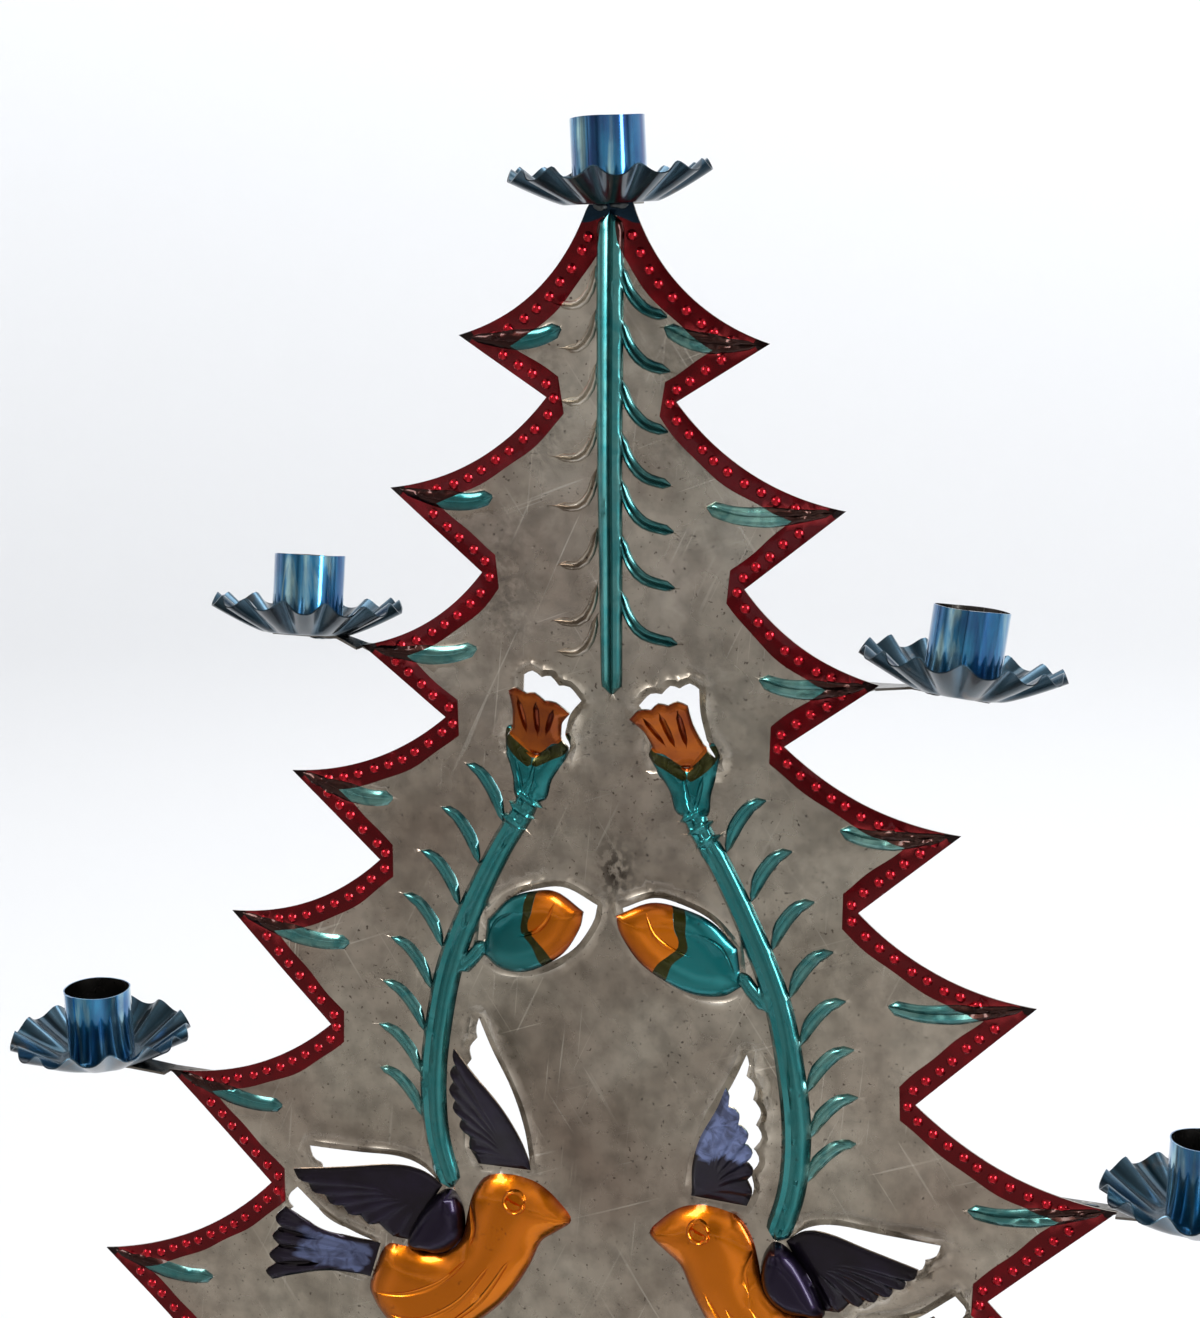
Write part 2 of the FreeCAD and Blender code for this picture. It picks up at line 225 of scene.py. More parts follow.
def inset(runs, depth):
    """Runs of an outline moved inwards by depth(distance along), trimmed where neighbours cross."""
    moved = []
    start = 0.0
    for run in runs:
        along = run_length(run) + start
        start = along[-1]
        moved.append(run + side_normals(run) * depth(along)[:, None])
    for i in range(len(moved) - 1):
        met = crossing(moved[i], moved[i + 1])
        if met:
            at_a, at_b, point = met
            moved[i] = np.vstack([moved[i][:at_a + 1], point])
            moved[i + 1] = np.vstack([point, moved[i + 1][at_b + 1:]])
    return np.vstack(moved)


def inside(outline, points):
    """Which points lie inside a closed outline."""
    found = np.zeros(len(points), bool)
    near = np.flatnonzero(((points >= outline.min(0)) & (points <= outline.max(0))).all(1))
    x, y = points[near].T
    odd = np.zeros(len(near), bool)
    for (ax, ay), (bx, by) in zip(outline, np.roll(outline, -1, axis=0)):
        if ay != by:
            odd ^= ((ay > y) != (by > y)) & (x < (bx - ax) * (y - ay) / (by - ay) + ax)
    found[near] = odd
    return found


def nearest(line, points, closed=False):
    """Distance from each point to a line, and how far along the line the nearest place is, 0 to 1."""
    if closed:
        line = np.vstack([line, line[:1]])
    a, edge = line[:-1], np.diff(line, axis=0)
    size = np.maximum((edge ** 2).sum(1), 1e-12)
    t = np.clip(np.einsum("mse,se->ms", points[:, None] - a, edge) / size, 0, 1)
    gap = points[:, None] - (a + t[..., None] * edge)
    distance = np.hypot(gap[..., 0], gap[..., 1])
    best = distance.argmin(1)
    row = np.arange(len(points))
    along = run_length(line)
    share = (along[best] + t[row, best] * np.sqrt(size[best])) / along[-1]
    return distance[row, best], share


def slow_noise(points, wavelength, seed, waves=7):
    """Smooth bumps of about that wavelength, between -1 and 1 or so."""
    rng = np.random.default_rng(seed)
    total = np.zeros(len(points))
    for _ in range(waves):
        angle, phase = rng.uniform(0, 2 * math.pi, 2)
        size = wavelength * rng.uniform(0.7, 1.6)
        total += np.sin((points[:, 0] * math.cos(angle) + points[:, 1] * math.sin(angle))
                        * 2 * math.pi / size + phase)
    return total / waves * 1.6


# ---- embossing ----
SECTIONS = {
    "round": (lambda u: (1 - u * u) ** 0.7, (-1, -0.55, 0, 0.55, 1)),
    "grooved": (lambda u: (1 - u * u) ** 0.7 * (1 - 0.85 * np.exp(-(u / 0.2) ** 2)),
                (-1, -0.8, -0.42, 0, 0.42, 0.8, 1)),
    "channel": (lambda u: (1 - u * u) ** 0.6 * (1 - 0.8 * np.exp(-(u / 0.2) ** 2)),
                (-1, -0.85, -0.62, -0.4, -0.16, 0, 0.16, 0.4, 0.62, 0.85, 1)),
    "reeded": (lambda u: (1 - u * u) ** 0.6 * (1 - 0.42 * np.exp(-((u - 0.25) / 0.14) ** 2)
                                               - 0.38 * np.exp(-((u + 0.45) / 0.14) ** 2)),
               (-1, -0.7, -0.45, -0.12, 0.25, 0.6, 1)),
}


class Stroke:
    """A raised line: its centre line, its width along the way, its height and its cross-section."""

    def __init__(self, points, widths, height, section="round", paint=None, pale=0.0):
        self.centre = smooth(points)
        self.height = height
        self.paint = paint
        self.pale = pale
        self.shape, rails = SECTIONS[section]
        along = run_length(self.centre)
        share = along / along[-1]
        half = np.interp(share, np.linspace(0, 1, len(widths)), widths) / 2
        for cap, left in ((widths[0] / 2, along), (widths[-1] / 2, along[-1] - along)):
            half = half * np.sqrt(1 - (1 - np.clip(left / max(cap, 0.4), 0.02, 1)) ** 2)
        self.share = share
        self.half = half
        normal = side_normals(self.centre)
        self.rails = [self.centre + normal * (half * rail)[:, None] for rail in rails]
        self.outline = np.vstack([self.rails[0], self.rails[-1][::-1]])

    def lift(self, points):
        """Height at each point, and 0 to 1 from the stroke's edge to its crest."""
        high = np.zeros(len(points))
        reach = self.half.max()
        low, top = self.centre.min(0) - reach, self.centre.max(0) + reach
        near = np.flatnonzero(((points >= low) & (points <= top)).all(1))
        if len(near):
            distance, share = nearest(self.centre, points[near])
            half = np.interp(share, self.share, self.half)
            u = np.clip(distance / half, 0, 1)
            high[near] = self.height * self.shape(u) * np.clip(1.4 * half / reach, 0, 1)
        return high


class Dome:
    """A raised area that rises from its outline over the width of its shoulder."""

    def __init__(self, outline, height, shoulder, paint=None, edge_only=False):
        self.outline = np.array(outline, float)
        self.height = height
        self.shoulder = shoulder
        self.paint = paint
        self.pale = 0.0
        middle = self.outline.mean(0)
        self.rails = [np.vstack([self.outline, self.outline[:1]])]
        if not edge_only:
            for share in (0.94, 0.86):
                ring = middle + (self.outline - middle) * share
                self.rails.append(np.vstack([ring, ring[:1]]))

    def lift(self, points):
        high = np.zeros(len(points))
        within = np.flatnonzero(inside(self.outline, points))
        if len(within):
            distance, _ = nearest(self.outline, points[within], closed=True)
            rise = np.clip(distance / self.shoulder, 0, 1)
            high[within] = self.height * (1 - (1 - rise) ** 2) ** 0.7
        return high


class Halo:
    """The tin pushed up in a soft ridge a little way outside a cut-out."""
    reach = 2.2
    width = 1.5

    def __init__(self, outline, height=0.65):
        self.hole = outline
        self.height = height
        self.paint = None
        self.pale = 0.0
        middle = outline.mean(0)
        along = np.roll(outline, -1, axis=0) - np.roll(outline, 1, axis=0)
        normal = np.stack([-along[:, 1], along[:, 0]], axis=1)
        normal /= np.hypot(*normal.T)[:, None]
        if np.median(((outline - middle) * normal).sum(1)) < 0:
            normal = -normal
        self.dots = [outline + normal * step for step in (0.9, self.reach, self.reach + self.width)]
        self.rails = []

    def lift(self, points):
        high = np.zeros(len(points))
        low = self.hole.min(0) - self.reach - self.width
        top = self.hole.max(0) + self.reach + self.width
        near = np.flatnonzero(((points >= low) & (points <= top)).all(1))
        near = near[~inside(self.hole, points[near])]
        distance, share = nearest(self.hole, points[near], closed=True)
        swing = np.clip(1 - ((distance - self.reach) / self.width) ** 2, 0, 1)
        uneven = 1 + 0.2 * np.sin(share * 41)
        high[near] = self.height * swing ** 1.5 * uneven
        return high


raised = []                 # the highest of these counts
pressed = []                # these are added on top: grooves are negative strokes


def on_side(side, points, shift=(0, 0)):
    """Points drawn for the right half, shifted, and mirrored where side is -1."""
    return (np.array(points, float) + shift) * (side, 1)


def add_leaf(side, blade, pale, widths=LEAF_WIDTHS, height=1.35):
    raised.append(Stroke(on_side(side, blade), widths, height, "round", "teal", pale))


def add_tree_stem():
    way = [(0, 3), (-0.3, 60), (0, 110), (0.6, 148)]
    raised.append(Stroke(way, (9, 8.6, 8, 7), 2.4, "channel", "teal", 0.35))
    # Veins: bare ones on the left, painted ones on the right. Each leaves the stem downwards and turns out.
    bare = [(-17, 30), (-15, 43), (-16, 59), (-18, 76), (-18, 91), (-17, 109), (-18.5, 126.5), (-17, 136)]
    for x, drop in bare:
        way = [(-4.4, drop - 12), (-6.5, drop - 4.5), (-10.5, drop - 0.2), (x, drop)]
        raised.append(Stroke(way, (2.0, 3.2, 2.4), 1.0, "grooved"))
    for x, drop in [(18, 33), (19, 49), (18.5, 67), (19.5, 83), (20.5, 97), (21, 114), (22, 131)]:
        way = [(3.6, drop - 15), (6, drop - 7.5), (11, drop - 2.2), (x, drop)]
        raised.append(Stroke(way, (2.6, 4.0, 3.2), 1.2, "grooved", "teal", 0.25))


def add_tip_strokes():
    # Inner end, middle and how pale the paint is, for the left and the right of each tier.
    left = [(-16, 37, 0.1), (-39, 89, 0.1), (-45, 137, 0.55), (-75, 188, 0.65), (-91.5, 238, 0.6),
            (-118, 298, 0.25), (-147, 364, 0.3), (-172, 430, 0.4), (-196, 492, 0.3)]
    right = [(17, 36, 0.75), (31, 89, 0.9), (48, 140, 0.6), (74, 184, 0.8), (90, 237, 0.5),
             (116, 298, 0.5), (146, 365, 0.6), (171, 431, 0.5), (196, 493, 0.4)]
    for side, ends in ((-1, left), (1, right)):
        for (x, drop, pale), (tip_x, tip_drop) in zip(ends, TIPS):
            tip = np.array([side * (tip_x - 4.0), tip_drop + 0.6])
            inner = np.array([x, drop], float)
            sag = np.array([0, 2.2])
            way = [tip, tip + (inner - tip) * 0.35 + sag * 0.8, tip + (inner - tip) * 0.72 + sag, inner]
            raised.append(Stroke(way, (2.0, 6.4, 4.6), 1.1, "grooved" if side > 0 else "round", "teal", pale))


def add_stems():
    line = smooth(STEM, 1.0)
    for side in (1, -1):
        raised.append(Stroke(on_side(side, STEM), (7.5, 8, 9.2, 9.6, 8.5), 2.6, "reeded", "teal", 0.12))
        # Three small bulges gather the stem's top under the calyx.
        for place, width in (((27.5, 183.5), 10.5), ((29.8, 187.5), 9.8), ((32.4, 191.5), 9.2)):
            across = np.array([0.85, -0.53]) * width / 2
            bulge = [np.array(place) - across, np.array(place), np.array(place) + across]
            raised.append(Stroke(on_side(side, bulge), (2.4, 3.4, 2.4), 2.9, "round", "teal", 0.1))
        stub = [(52.5, 243), (47, 237.5), (43, 232)]
        raised.append(Stroke(on_side(side, stub), (5.5, 5, 4.5), 2.0, "round", "teal", 0.15))
        # Eight banana-shaped leaves up the outer side of each stem.
        for step in range(8):
            drop = 192 + 14.6 * step + (2.5 if side > 0 else 0)
            root_x = np.interp(drop, line[:, 1], line[:, 0]) + 4.5
            reach = 12.5 + 0.4 * step
            rise = 17.5 - 0.4 * step
            blade = [(root_x, drop), (root_x + reach * 0.22, drop - rise * 0.48),
                     (root_x + reach * 0.62, drop - rise * 0.88), (root_x + reach, drop - rise)]
            add_leaf(side, blade, 0.15 + (0.09 if side > 0 else 0.05) * step)


def add_calyx(side, shift=(0, 0)):
    """The green cup of a flower: a neck that opens into two rounded sepals over the petals' foot."""
    shape = [(22.3, 184), (19.5, 177), (14.6, 169.5), (13.2, 164.8), (14.6, 161.6), (18.5, 163.8),
             (25, 169.3), (30.5, 162.2), (34.0, 160.6), (35.3, 164.2), (34.8, 170), (33, 177), (31.6, 184)]
    outline = on_side(side, smooth(shape, 1.2, closed=True), shift)
    raised.append(Dome(outline, 1.9, 4.0, "teal"))
    for foot, top in (((27, 182), (24.5, 171)), ((28.5, 182), (31, 171))):
        pressed.append(Stroke(on_side(side, [foot, top], shift), (1.2, 1.8, 1.0), -0.7))


def add_flower(side, shift=(0, 0)):
    """Petals: the flap itself, amber, with three long grooves and a fold to each scallop."""
    raised.append(Dome(on_side(side, outline_of(FLOWER, 1.2), shift), 0.7, 2.0))
    amber = [(8, 150), (14.5, 142), (30, 141), (33, 158), (32, 162.5), (25.6, 170.2), (19, 164.5),
             (14, 161.5)]
    olive_left = [(13, 161), (16, 163.2), (20, 165.8), (25.2, 170.4), (25, 173), (19.5, 170.5), (14, 167)]
    olive_right = [(25.8, 170.4), (29, 166.3), (33, 161.5), (36, 163), (33, 168.5), (27, 173)]
    for paint, shape in (("amber", amber), ("olive", olive_left), ("olive", olive_right)):
        late_paint.append((paint, on_side(side, smooth(shape, 1.2, closed=True), shift)))
    for top, foot, width in (((14.5, 149.5), (19.5, 160), 2.0), ((20, 147.5), (22.5, 160.5), 2.3),
                             ((25.8, 146.5), (26.3, 160), 2.3)):
        pressed.append(Stroke(on_side(side, [top, foot], shift), (width * 0.8, width, width * 0.6), -1.2))


def add_bud(side):
    body = outline_of(BUD, 1.4) * (side, 1)
    raised.append(Dome(body, 2.6, 7.0, "teal"))
    # The amber end meets the green in a V, with a dark strip where both colours lie on each other.
    amber = [(1, 209), (21, 209.5), (22, 214), (22.6, 219), (24.4, 224), (20, 228), (16, 235), (2, 224)]
    olive = [(21, 209.5), (24, 210), (26, 215), (26, 220), (26.6, 225.5), (22, 230), (19.5, 236), (15.6, 235),
             (17.5, 230), (23.8, 224.2), (22.5, 218), (22, 213)]
    for paint, shape in (("amber", amber), ("olive", olive)):
        late_paint.append((paint, on_side(side, smooth(shape, 1.5, closed=True))))
    for way, width in (([(14, 214.5), (16.5, 220.5), (21, 224.5), (28, 227.5)], 1.7),
                       ([(30, 220), (37, 224), (41.5, 232)], 1.4)):
        pressed.append(Stroke(on_side(side, way), (width * 0.6, width, width * 0.5), 0.7 * side))


def add_bird(side):
    body = smooth(BIRD, 1.5, closed=True) * (side, 1)
    raised.append(Dome(body, 4.6, 11.0, "amber"))
    eye = np.array(BIRD_EYE, float) * (side, 1)
    turn = np.linspace(0, 2 * math.pi, 20)
    ring = eye + 3.4 * np.stack([np.cos(turn), np.sin(turn)], axis=1)
    pressed.append(Stroke(ring, (1.5, 1.5), 1.1))
    pressed.append(Stroke([eye - (0.9, 0.3), eye + (0.9, 0.3)], (2.4, 2.4), 1.2))
    # Long feather folds on the breast and back, and the ear mark.
    for way in ([(49, 340), (58, 349), (70, 355), (82, 357)], [(41, 341), (52, 355), (65, 363), (77, 364)],
                [(34, 338), (44, 353), (56, 364)], [(48.5, 322), (46.5, 329), (48, 335)]):
        pressed.append(Stroke(on_side(side, way), (1.2, 2.2, 1.2), -0.55))
    # The wing's dark shoulder lies on the bird's back.
    shoulder = [(57, 317.5), (52.5, 321), (50.8, 328), (52.5, 335), (58, 340), (65, 341), (72, 339),
                (66, 326)]
    outline = on_side(side, smooth(shoulder, 1.4, closed=True))
    raised.append(Dome(outline, 5.2, 5.0, "violet", edge_only=True))


def add_feathers(side, runs, root, height=0.9, width=4.2):
    """A ridge from the wing's root to each scallop of its edge."""
    for run in runs:
        middle = np.array(run[len(run) // 2], float)
        root_point = np.array(root, float)
        bend = (root_point + middle) / 2 + np.array([0, -1.5])
        way = [root_point + (middle - root_point) * 0.22, bend, middle]
        raised.append(Stroke(on_side(side, way), (1.4, width, width), height))


def add_wings(side):
    for runs in (UPPER_WING, OUTER_WING, TAIL):
        raised.append(Dome(outline_of(runs, 1.4) * (side, 1), 0.6, 2.5, "violet"))
    add_feathers(side, UPPER_WING[2:], (33, 304))
    add_feathers(side, OUTER_WING[1:7], (66, 322))
    for middle in (330.5, 337, 343.8, 350):
        way = [(90, 346 + (middle - 343) * 0.35), (103, 344 + (middle - 343) * 0.7), (117, middle)]
        raised.append(Stroke(on_side(side, way), (2.0, 3.6, 4.8), 1.0))
        pressed.append(Stroke(on_side(side, way[1:], (0.5, 3.2)), (1.2, 2.0, 1.2), -0.9))


def add_lower_sprays():
    """The part nearest the trunk: a stem up to the middle flower and a leafy spray to each side."""
    way = [(0, 588), (0.6, 540), (0, 480), (0, 434)]
    raised.append(Stroke(way, (13, 11, 9.5, 8), 2.6, "reeded", "teal", 0.12))
    for index in range(7):
        drop = 570 - 20 * index
        for side in (1, -1):
            blade = [(5.5, drop), (9, drop - 9), (15, drop - 16), (22 - index * 0.6, drop - 18.5)]
            add_leaf(side, blade, 0.1 + 0.06 * index, (1.8, 4.8, 4.6, 2.6))
    spray = [(14, 531), (38, 506), (66, 487), (98, 474), (130, 466), (156, 455)]
    line = smooth(spray, 1.0)
    for side in (1, -1):
        raised.append(Stroke(on_side(side, spray), (8.5, 8.5, 7.5, 6, 3.5), 2.2, "reeded", "teal", 0.15))
        for index in range(7):
            x = 40 + 16.5 * index
            drop = np.interp(x, line[:, 0], line[:, 1])
            for up in (1, -1):
                blade = [(x, drop - 4 * up), (x + 4.5, drop - 11 * up), (x + 11, drop - 16.5 * up),
                         (x + 17, drop - 18 * up)]
                add_leaf(side, blade, 0.2 + 0.07 * index, (1.8, 4.6, 4.4, 2.4), 1.3)


# ---- outline, band and beads ----
def right_runs():
    """The tree's right side, from the neck down to the foot of the trunk, one run per edge."""
    runs = []
    here = (NECK_HALF, -NECK_LEAN)
    for index, tip in enumerate(TIPS):
        runs.append(bowed(here, tip, EAVE_SAG[index]))
        here = tip
        if index < len(NOTCHES):
            runs.append(bowed(tip, NOTCHES[index], 0))
            here = NOTCHES[index]
    runs.append(bowed(here, HEM, 0))
    runs.append(bowed(HEM, TRUNK_SHOULDER, -HEM_RISE))
    runs.append(bowed(TRUNK_SHOULDER, TRUNK_FOOT, TRUNK_SAG))
    return runs


painted = []                # (paint, outline, how pale), in the order in which they are laid on
late_paint = []             # (paint, outline) laid on last, and only on flaps and on green paint
bead_places = []


def add_band(side, runs):
    """The red band of one side, with its row of beads."""
    phase = 0.0 if side > 0 else 2.1

    def depth(along):
        start = 0.72 + 0.5 * np.clip(along / 12, 0, 1) - 0.22 * np.clip((along - 45) / 20, 0, 1)
        wobble = 0.32 * np.sin(along / 8.3 + phase) + 0.22 * np.sin(along / 3.1 + 2 * phase)
        return BAND_WIDTH * start + wobble

    outer = np.vstack(runs)
    inner = inset(runs, depth)
    band = np.vstack([outer, inner[::-1]])
    painted.append(("red", band * (side, 1), 0.0))
    rng = np.random.default_rng(5 + side)
    middle = inset(runs, lambda along: 0.47 * depth(along))
    along = run_length(middle)
    for place in np.arange(9.0, along[-1] - 4, BEAD_SPACING):
        place += rng.uniform(-0.5, 0.5)
        bead = np.array([np.interp(place, along, middle[:, axis]) for axis in (0, 1)])
        bead = (bead + rng.uniform(-0.3, 0.3, 2)) * (side, 1)
        if all(np.hypot(*(bead - other)) > 3.6 for other in bead_places[-6:]):
            bead_places.append(bead)
    return outer * (side, 1), inner * (side, 1)


runs = right_runs()
right_edge, right_inner = add_band(1, runs)
left_edge, left_inner = add_band(-1, runs)
left_edge[0] = (-NECK_HALF, NECK_LEAN)
foot_line = bowed(TRUNK_FOOT, mirrored(TRUNK_FOOT), 0)[1:-1]
neck_line = bowed(left_edge[0], right_edge[0], 0)[1:-1]
tree_edge = np.vstack([right_edge, foot_line, left_edge[::-1], neck_line])
keep = np.hypot(*(tree_edge - np.roll(tree_edge, 1, axis=0)).T) > 1e-6
tree_edge = tree_edge[keep]

flaps = []                  # (outline, hinge a, hinge b, radians)
for side in (1, -1):
    for flap_runs, hinge_a, hinge_b, angle in FLAPS.values():
        flaps.append((outline_of(flap_runs) * (side, 1), on_side(side, hinge_a), on_side(side, hinge_b),
                      math.radians(angle)))
flap_runs, hinge_a, hinge_b, angle = FLAPS["flower"]
flaps.append((outline_of(flap_runs) + CENTRE_FLOWER_SHIFT, on_side(1, hinge_a, CENTRE_FLOWER_SHIFT),
              on_side(1, hinge_b, CENTRE_FLOWER_SHIFT), math.radians(angle)))

add_tip_strokes()
add_tree_stem()
add_stems()
add_lower_sprays()
for side in (1, -1):
    add_flower(side)
    add_calyx(side)
    add_bird(side)
    add_wings(side)
add_flower(1, CENTRE_FLOWER_SHIFT)
add_calyx(1, CENTRE_FLOWER_SHIFT)
for side in (1, -1):
    add_bud(side)
for shape in raised:
    if shape.paint:
        painted.append((shape.paint, shape.outline, shape.pale))
for flap in flaps:
    raised.append(Halo(flap[0]))
# Green brushed over the red has left each tip nearly black.
for side in (1, -1):
    for tip in TIPS:
        turn = np.linspace(0, 2 * math.pi, 9)[:-1]
        round_tip = np.array(tip) + np.stack([5.2 * np.cos(turn), 3.0 * np.sin(turn)], axis=1)
        painted.append(("dark_red", round_tip * (side, 1), 0.0))
neck = [(-14, -3), (14, -3), (13, 4.4), (8, 5.6), (4, 4.2), (0, 3.2), (-4, 4.6), (-8, 5.6), (-13, 4.6)]
painted.append(("blue", smooth(neck, 1.2, closed=True), 0.0))
# The lacquer is nearly rubbed off the right bird's raised wing; the paler roots of both tails are a painted
# sheen.
raised_wing = [(53, 255), (40, 258), (31, 274), (30, 286), (36, 289), (42, 285), (47, 288), (53, 284)]
wear_and_sheen = [(np.array(raised_wing), 0.8)]
# Tail roots: paler violet as a painted sheen.
for side in (1, -1):
    tail_root = [(86, 343), (96, 338.5), (108, 334), (106, 339), (110, 344), (104, 347), (90, 351)]
    wear_and_sheen.append((on_side(side, tail_root), 0.2 if side > 0 else 0.45))


# ---- the flat mesh ----
def flat_mesh():
    """Triangles over the whole sheet, with edges along every outline, paint edge and ridge."""
    points = []
    edges = []

    def add_line(line, closed):
        first = sum(len(p) for p in points)
        points.append(np.array(line, float))
        count = len(line)
        edges.extend((first + i, first + (i + 1) % count) for i in range(count if closed else count - 1))

    add_line(tree_edge, True)
    for flap in flaps:
        add_line(flap[0], True)
    for paint, outline, _ in painted:
        add_line(outline, True)
    for paint, outline in late_paint:
        add_line(outline, True)
    for shape in raised + pressed:
        for rail in shape.rails:
            add_line(rail, False)
    turn = np.linspace(0, 2 * math.pi, 10, endpoint=False)
    for bead in bead_places:
        points.append(np.array([bead]))
        for radius in (0.38 * BEAD_R, 0.7 * BEAD_R, BEAD_R):
            points.append(bead + radius * np.stack([np.cos(turn + radius), np.sin(turn + radius)], axis=1))
    for shape in raised:
        if isinstance(shape, Halo):
            points.extend(shape.dots)
    fixed = np.vstack(points)

    low, high = tree_edge.min(0) - 2, tree_edge.max(0) + 2
    row_step = PITCH * math.sqrt(3) / 2
    grid = []
    rng = np.random.default_rng(11)
    for row in range(int((high[1] - low[1]) / row_step) + 1):
        xs = np.arange(low[0] + (row % 2) * PITCH / 2, high[0], PITCH)
        plain = (np.arange(len(xs)) % COARSE == (row // COARSE) % 2) & (row % COARSE == 0)
        grid.append(np.stack([xs, np.full(len(xs), low[1] + row * row_step), plain], axis=1))
    grid = np.vstack(grid)
    grid[:, :2] += rng.uniform(-0.12, 0.12, (len(grid), 2)) * PITCH
    grid = grid[inside(tree_edge, grid[:, :2])]
    tree = KDTree(len(fixed))
    for i, (x, y) in enumerate(fixed):
        tree.insert((x, y, 0), i)
    tree.balance()
    gap = np.array([tree.find((x, y, 0))[2] for x, y, _ in grid])
    grid = grid[(gap > 0.55 * PITCH) & ((gap < 3.2 * PITCH) | (grid[:, 2] > 0))]
    everything = np.vstack([fixed, grid[:, :2]])
    result = delaunay_2d_cdt([Vector(p) for p in everything], edges, [], 0, 1e-4, False)
    vertices = np.array([tuple(v) for v in result[0]])
    triangles = np.array(result[2])
    return vertices, triangles


vertices, triangles = flat_mesh()
a, b, c = vertices[triangles].transpose(1, 0, 2)
area = (b[:, 0] - a[:, 0]) * (c[:, 1] - a[:, 1]) - (b[:, 1] - a[:, 1]) * (c[:, 0] - a[:, 0])
triangles = np.where((area > 0)[:, None], triangles, triangles[:, ::-1])
centres = vertices[triangles].mean(1)
wanted = inside(tree_edge, centres) & (np.abs(area) > 1e-7)
triangles, centres = triangles[wanted], centres[wanted]

flap_of = np.zeros(len(triangles), int)
for number, flap in enumerate(flaps, start=1):
    flap_of[inside(flap[0], centres)] = number

OVERLAPS = {("teal", "red"): "dark_red"}      # this paint, over that one
paint_of = np.full(len(triangles), "bare", dtype="U10")
pale_of = np.zeros(len(triangles))
for paint, outline, paleness in painted:
    covered = inside(outline, centres)
    for below in np.unique(paint_of[covered]):
        here = covered & (paint_of == below)
        paint_of[here] = OVERLAPS.get((paint, str(below)), paint)
    pale_of[covered] = paleness
for paint, outline in late_paint:
    covered = inside(outline, centres) & ((flap_of > 0) | (paint_of == "teal"))
    paint_of[covered] = paint
# Paler violet: wear on the right wing, a painted sheen at the tail roots.
for outline, paleness in wear_and_sheen:
    pale_of[inside(outline, centres) & (paint_of == "violet")] = paleness
# Give each flap its own vertices, except along its hinge, where it stays joined to the sheet.
source = np.arange(len(vertices))
vertex_flap = np.zeros(len(vertices), int)
for number, flap in enumerate(flaps, start=1):
    own = np.unique(triangles[flap_of == number])
    hinge_gap, _ = nearest(np.array([flap[1], flap[2]]), vertices[own])
    own = own[hinge_gap > 0.02]
    replacement = np.arange(len(source))
    replacement[own] = len(source) + np.arange(len(own))
    triangles[flap_of == number] = replacement[triangles[flap_of == number]]
    source = np.concatenate([source, source[own]])
    vertex_flap = np.concatenate([vertex_flap, np.full(len(own), number)])
flat = vertices[source]


def relief(points):
    """How far the tin is pushed forward at each point of the flat sheet."""
    high = np.zeros(len(points))
    for shape in raised:
        high = np.maximum(high, shape.lift(points))
    for shape in pressed:
        high += shape.lift(points)
    for bead in bead_places:
        near = np.flatnonzero((np.abs(points - bead) < BEAD_R).all(1))
        reach = np.hypot(*(points[near] - bead).T) / BEAD_R
        high[near] = np.maximum(high[near], BEAD_HEIGHT * np.clip(1 - reach ** 2, 0, 1) ** 0.8)
    dents = sum(size * slow_noise(points, wavelength, seed) for size, wavelength, seed in DENTS)
    fade = np.clip(np.minimum(points[:, 1], TRUNK_FOOT[1] - points[:, 1]) / 30, 0, 1)
    return high + dents * fade, high


height, embossed = relief(flat)


def placed(offset):
    """The sheet in space, in metres, with each point moved offset mm along the sheet's front normal."""
    foot = flat.copy()
    forward = height + offset
    for number, (outline, hinge_a, hinge_b, angle) in enumerate(flaps, start=1):
        mine = vertex_flap == number
        along = (hinge_b - hinge_a) / np.hypot(*(hinge_b - hinge_a))
        out = np.array([-along[1], along[0]])
        if (outline.mean(0) - hinge_a) @ out < 0:
            out = -out
        reach = np.maximum((flat[mine] - hinge_a) @ out, 0)
        turned = angle * np.clip(reach / BEND_LENGTH, 0, 1)
        radius = BEND_LENGTH / angle
        rest = np.maximum(reach - BEND_LENGTH, 0)
        over = radius * np.sin(turned) + rest * math.cos(angle) - forward[mine] * np.sin(turned)
        ahead = radius * (1 - np.cos(turned)) + rest * math.sin(angle) + forward[mine] * np.cos(turned)
        foot[mine] = flat[mine] + (over - reach)[:, None] * out
        forward[mine] = ahead
    return np.stack([foot[:, 0], -forward, TREE_TOP - foot[:, 1]], axis=1) * MM


# ---- materials ----
def make_material(name, metallic, roughness, coat=0.0, coat_roughness=0.05):
    """A new material, its node tree and its shader, with the shader's plain values set."""
    made = bpy.data.materials.new(name)
    made.use_nodes = True
    shader = made.node_tree.nodes["Principled BSDF"]
    shader.inputs["Metallic"].default_value = metallic
    shader.inputs["Roughness"].default_value = roughness
    shader.inputs["Coat Weight"].default_value = coat
    shader.inputs["Coat Roughness"].default_value = coat_roughness
    return made, made.node_tree, shader


def noise(tree, scale, detail=4.0, stretch=(1, 1, 1), turn=(0, 0, 0), distortion=0.0):
    """A noise value at the object's own coordinates, stretched and turned."""
    place = tree.nodes.new("ShaderNodeTexCoord")
    mapping = tree.nodes.new("ShaderNodeMapping")
    mapping.vector_type = "TEXTURE"       # it turns first and stretches after
    mapping.inputs["Scale"].default_value = [1 / s for s in stretch]
    mapping.inputs["Rotation"].default_value = turn
    pattern = tree.nodes.new("ShaderNodeTexNoise")
    pattern.inputs["Scale"].default_value = scale
    pattern.inputs["Detail"].default_value = detail
    pattern.inputs["Distortion"].default_value = distortion
    tree.links.new(place.outputs["Object"], mapping.inputs["Vector"])
    tree.links.new(mapping.outputs["Vector"], pattern.inputs["Vector"])
    return pattern.outputs["Fac"]


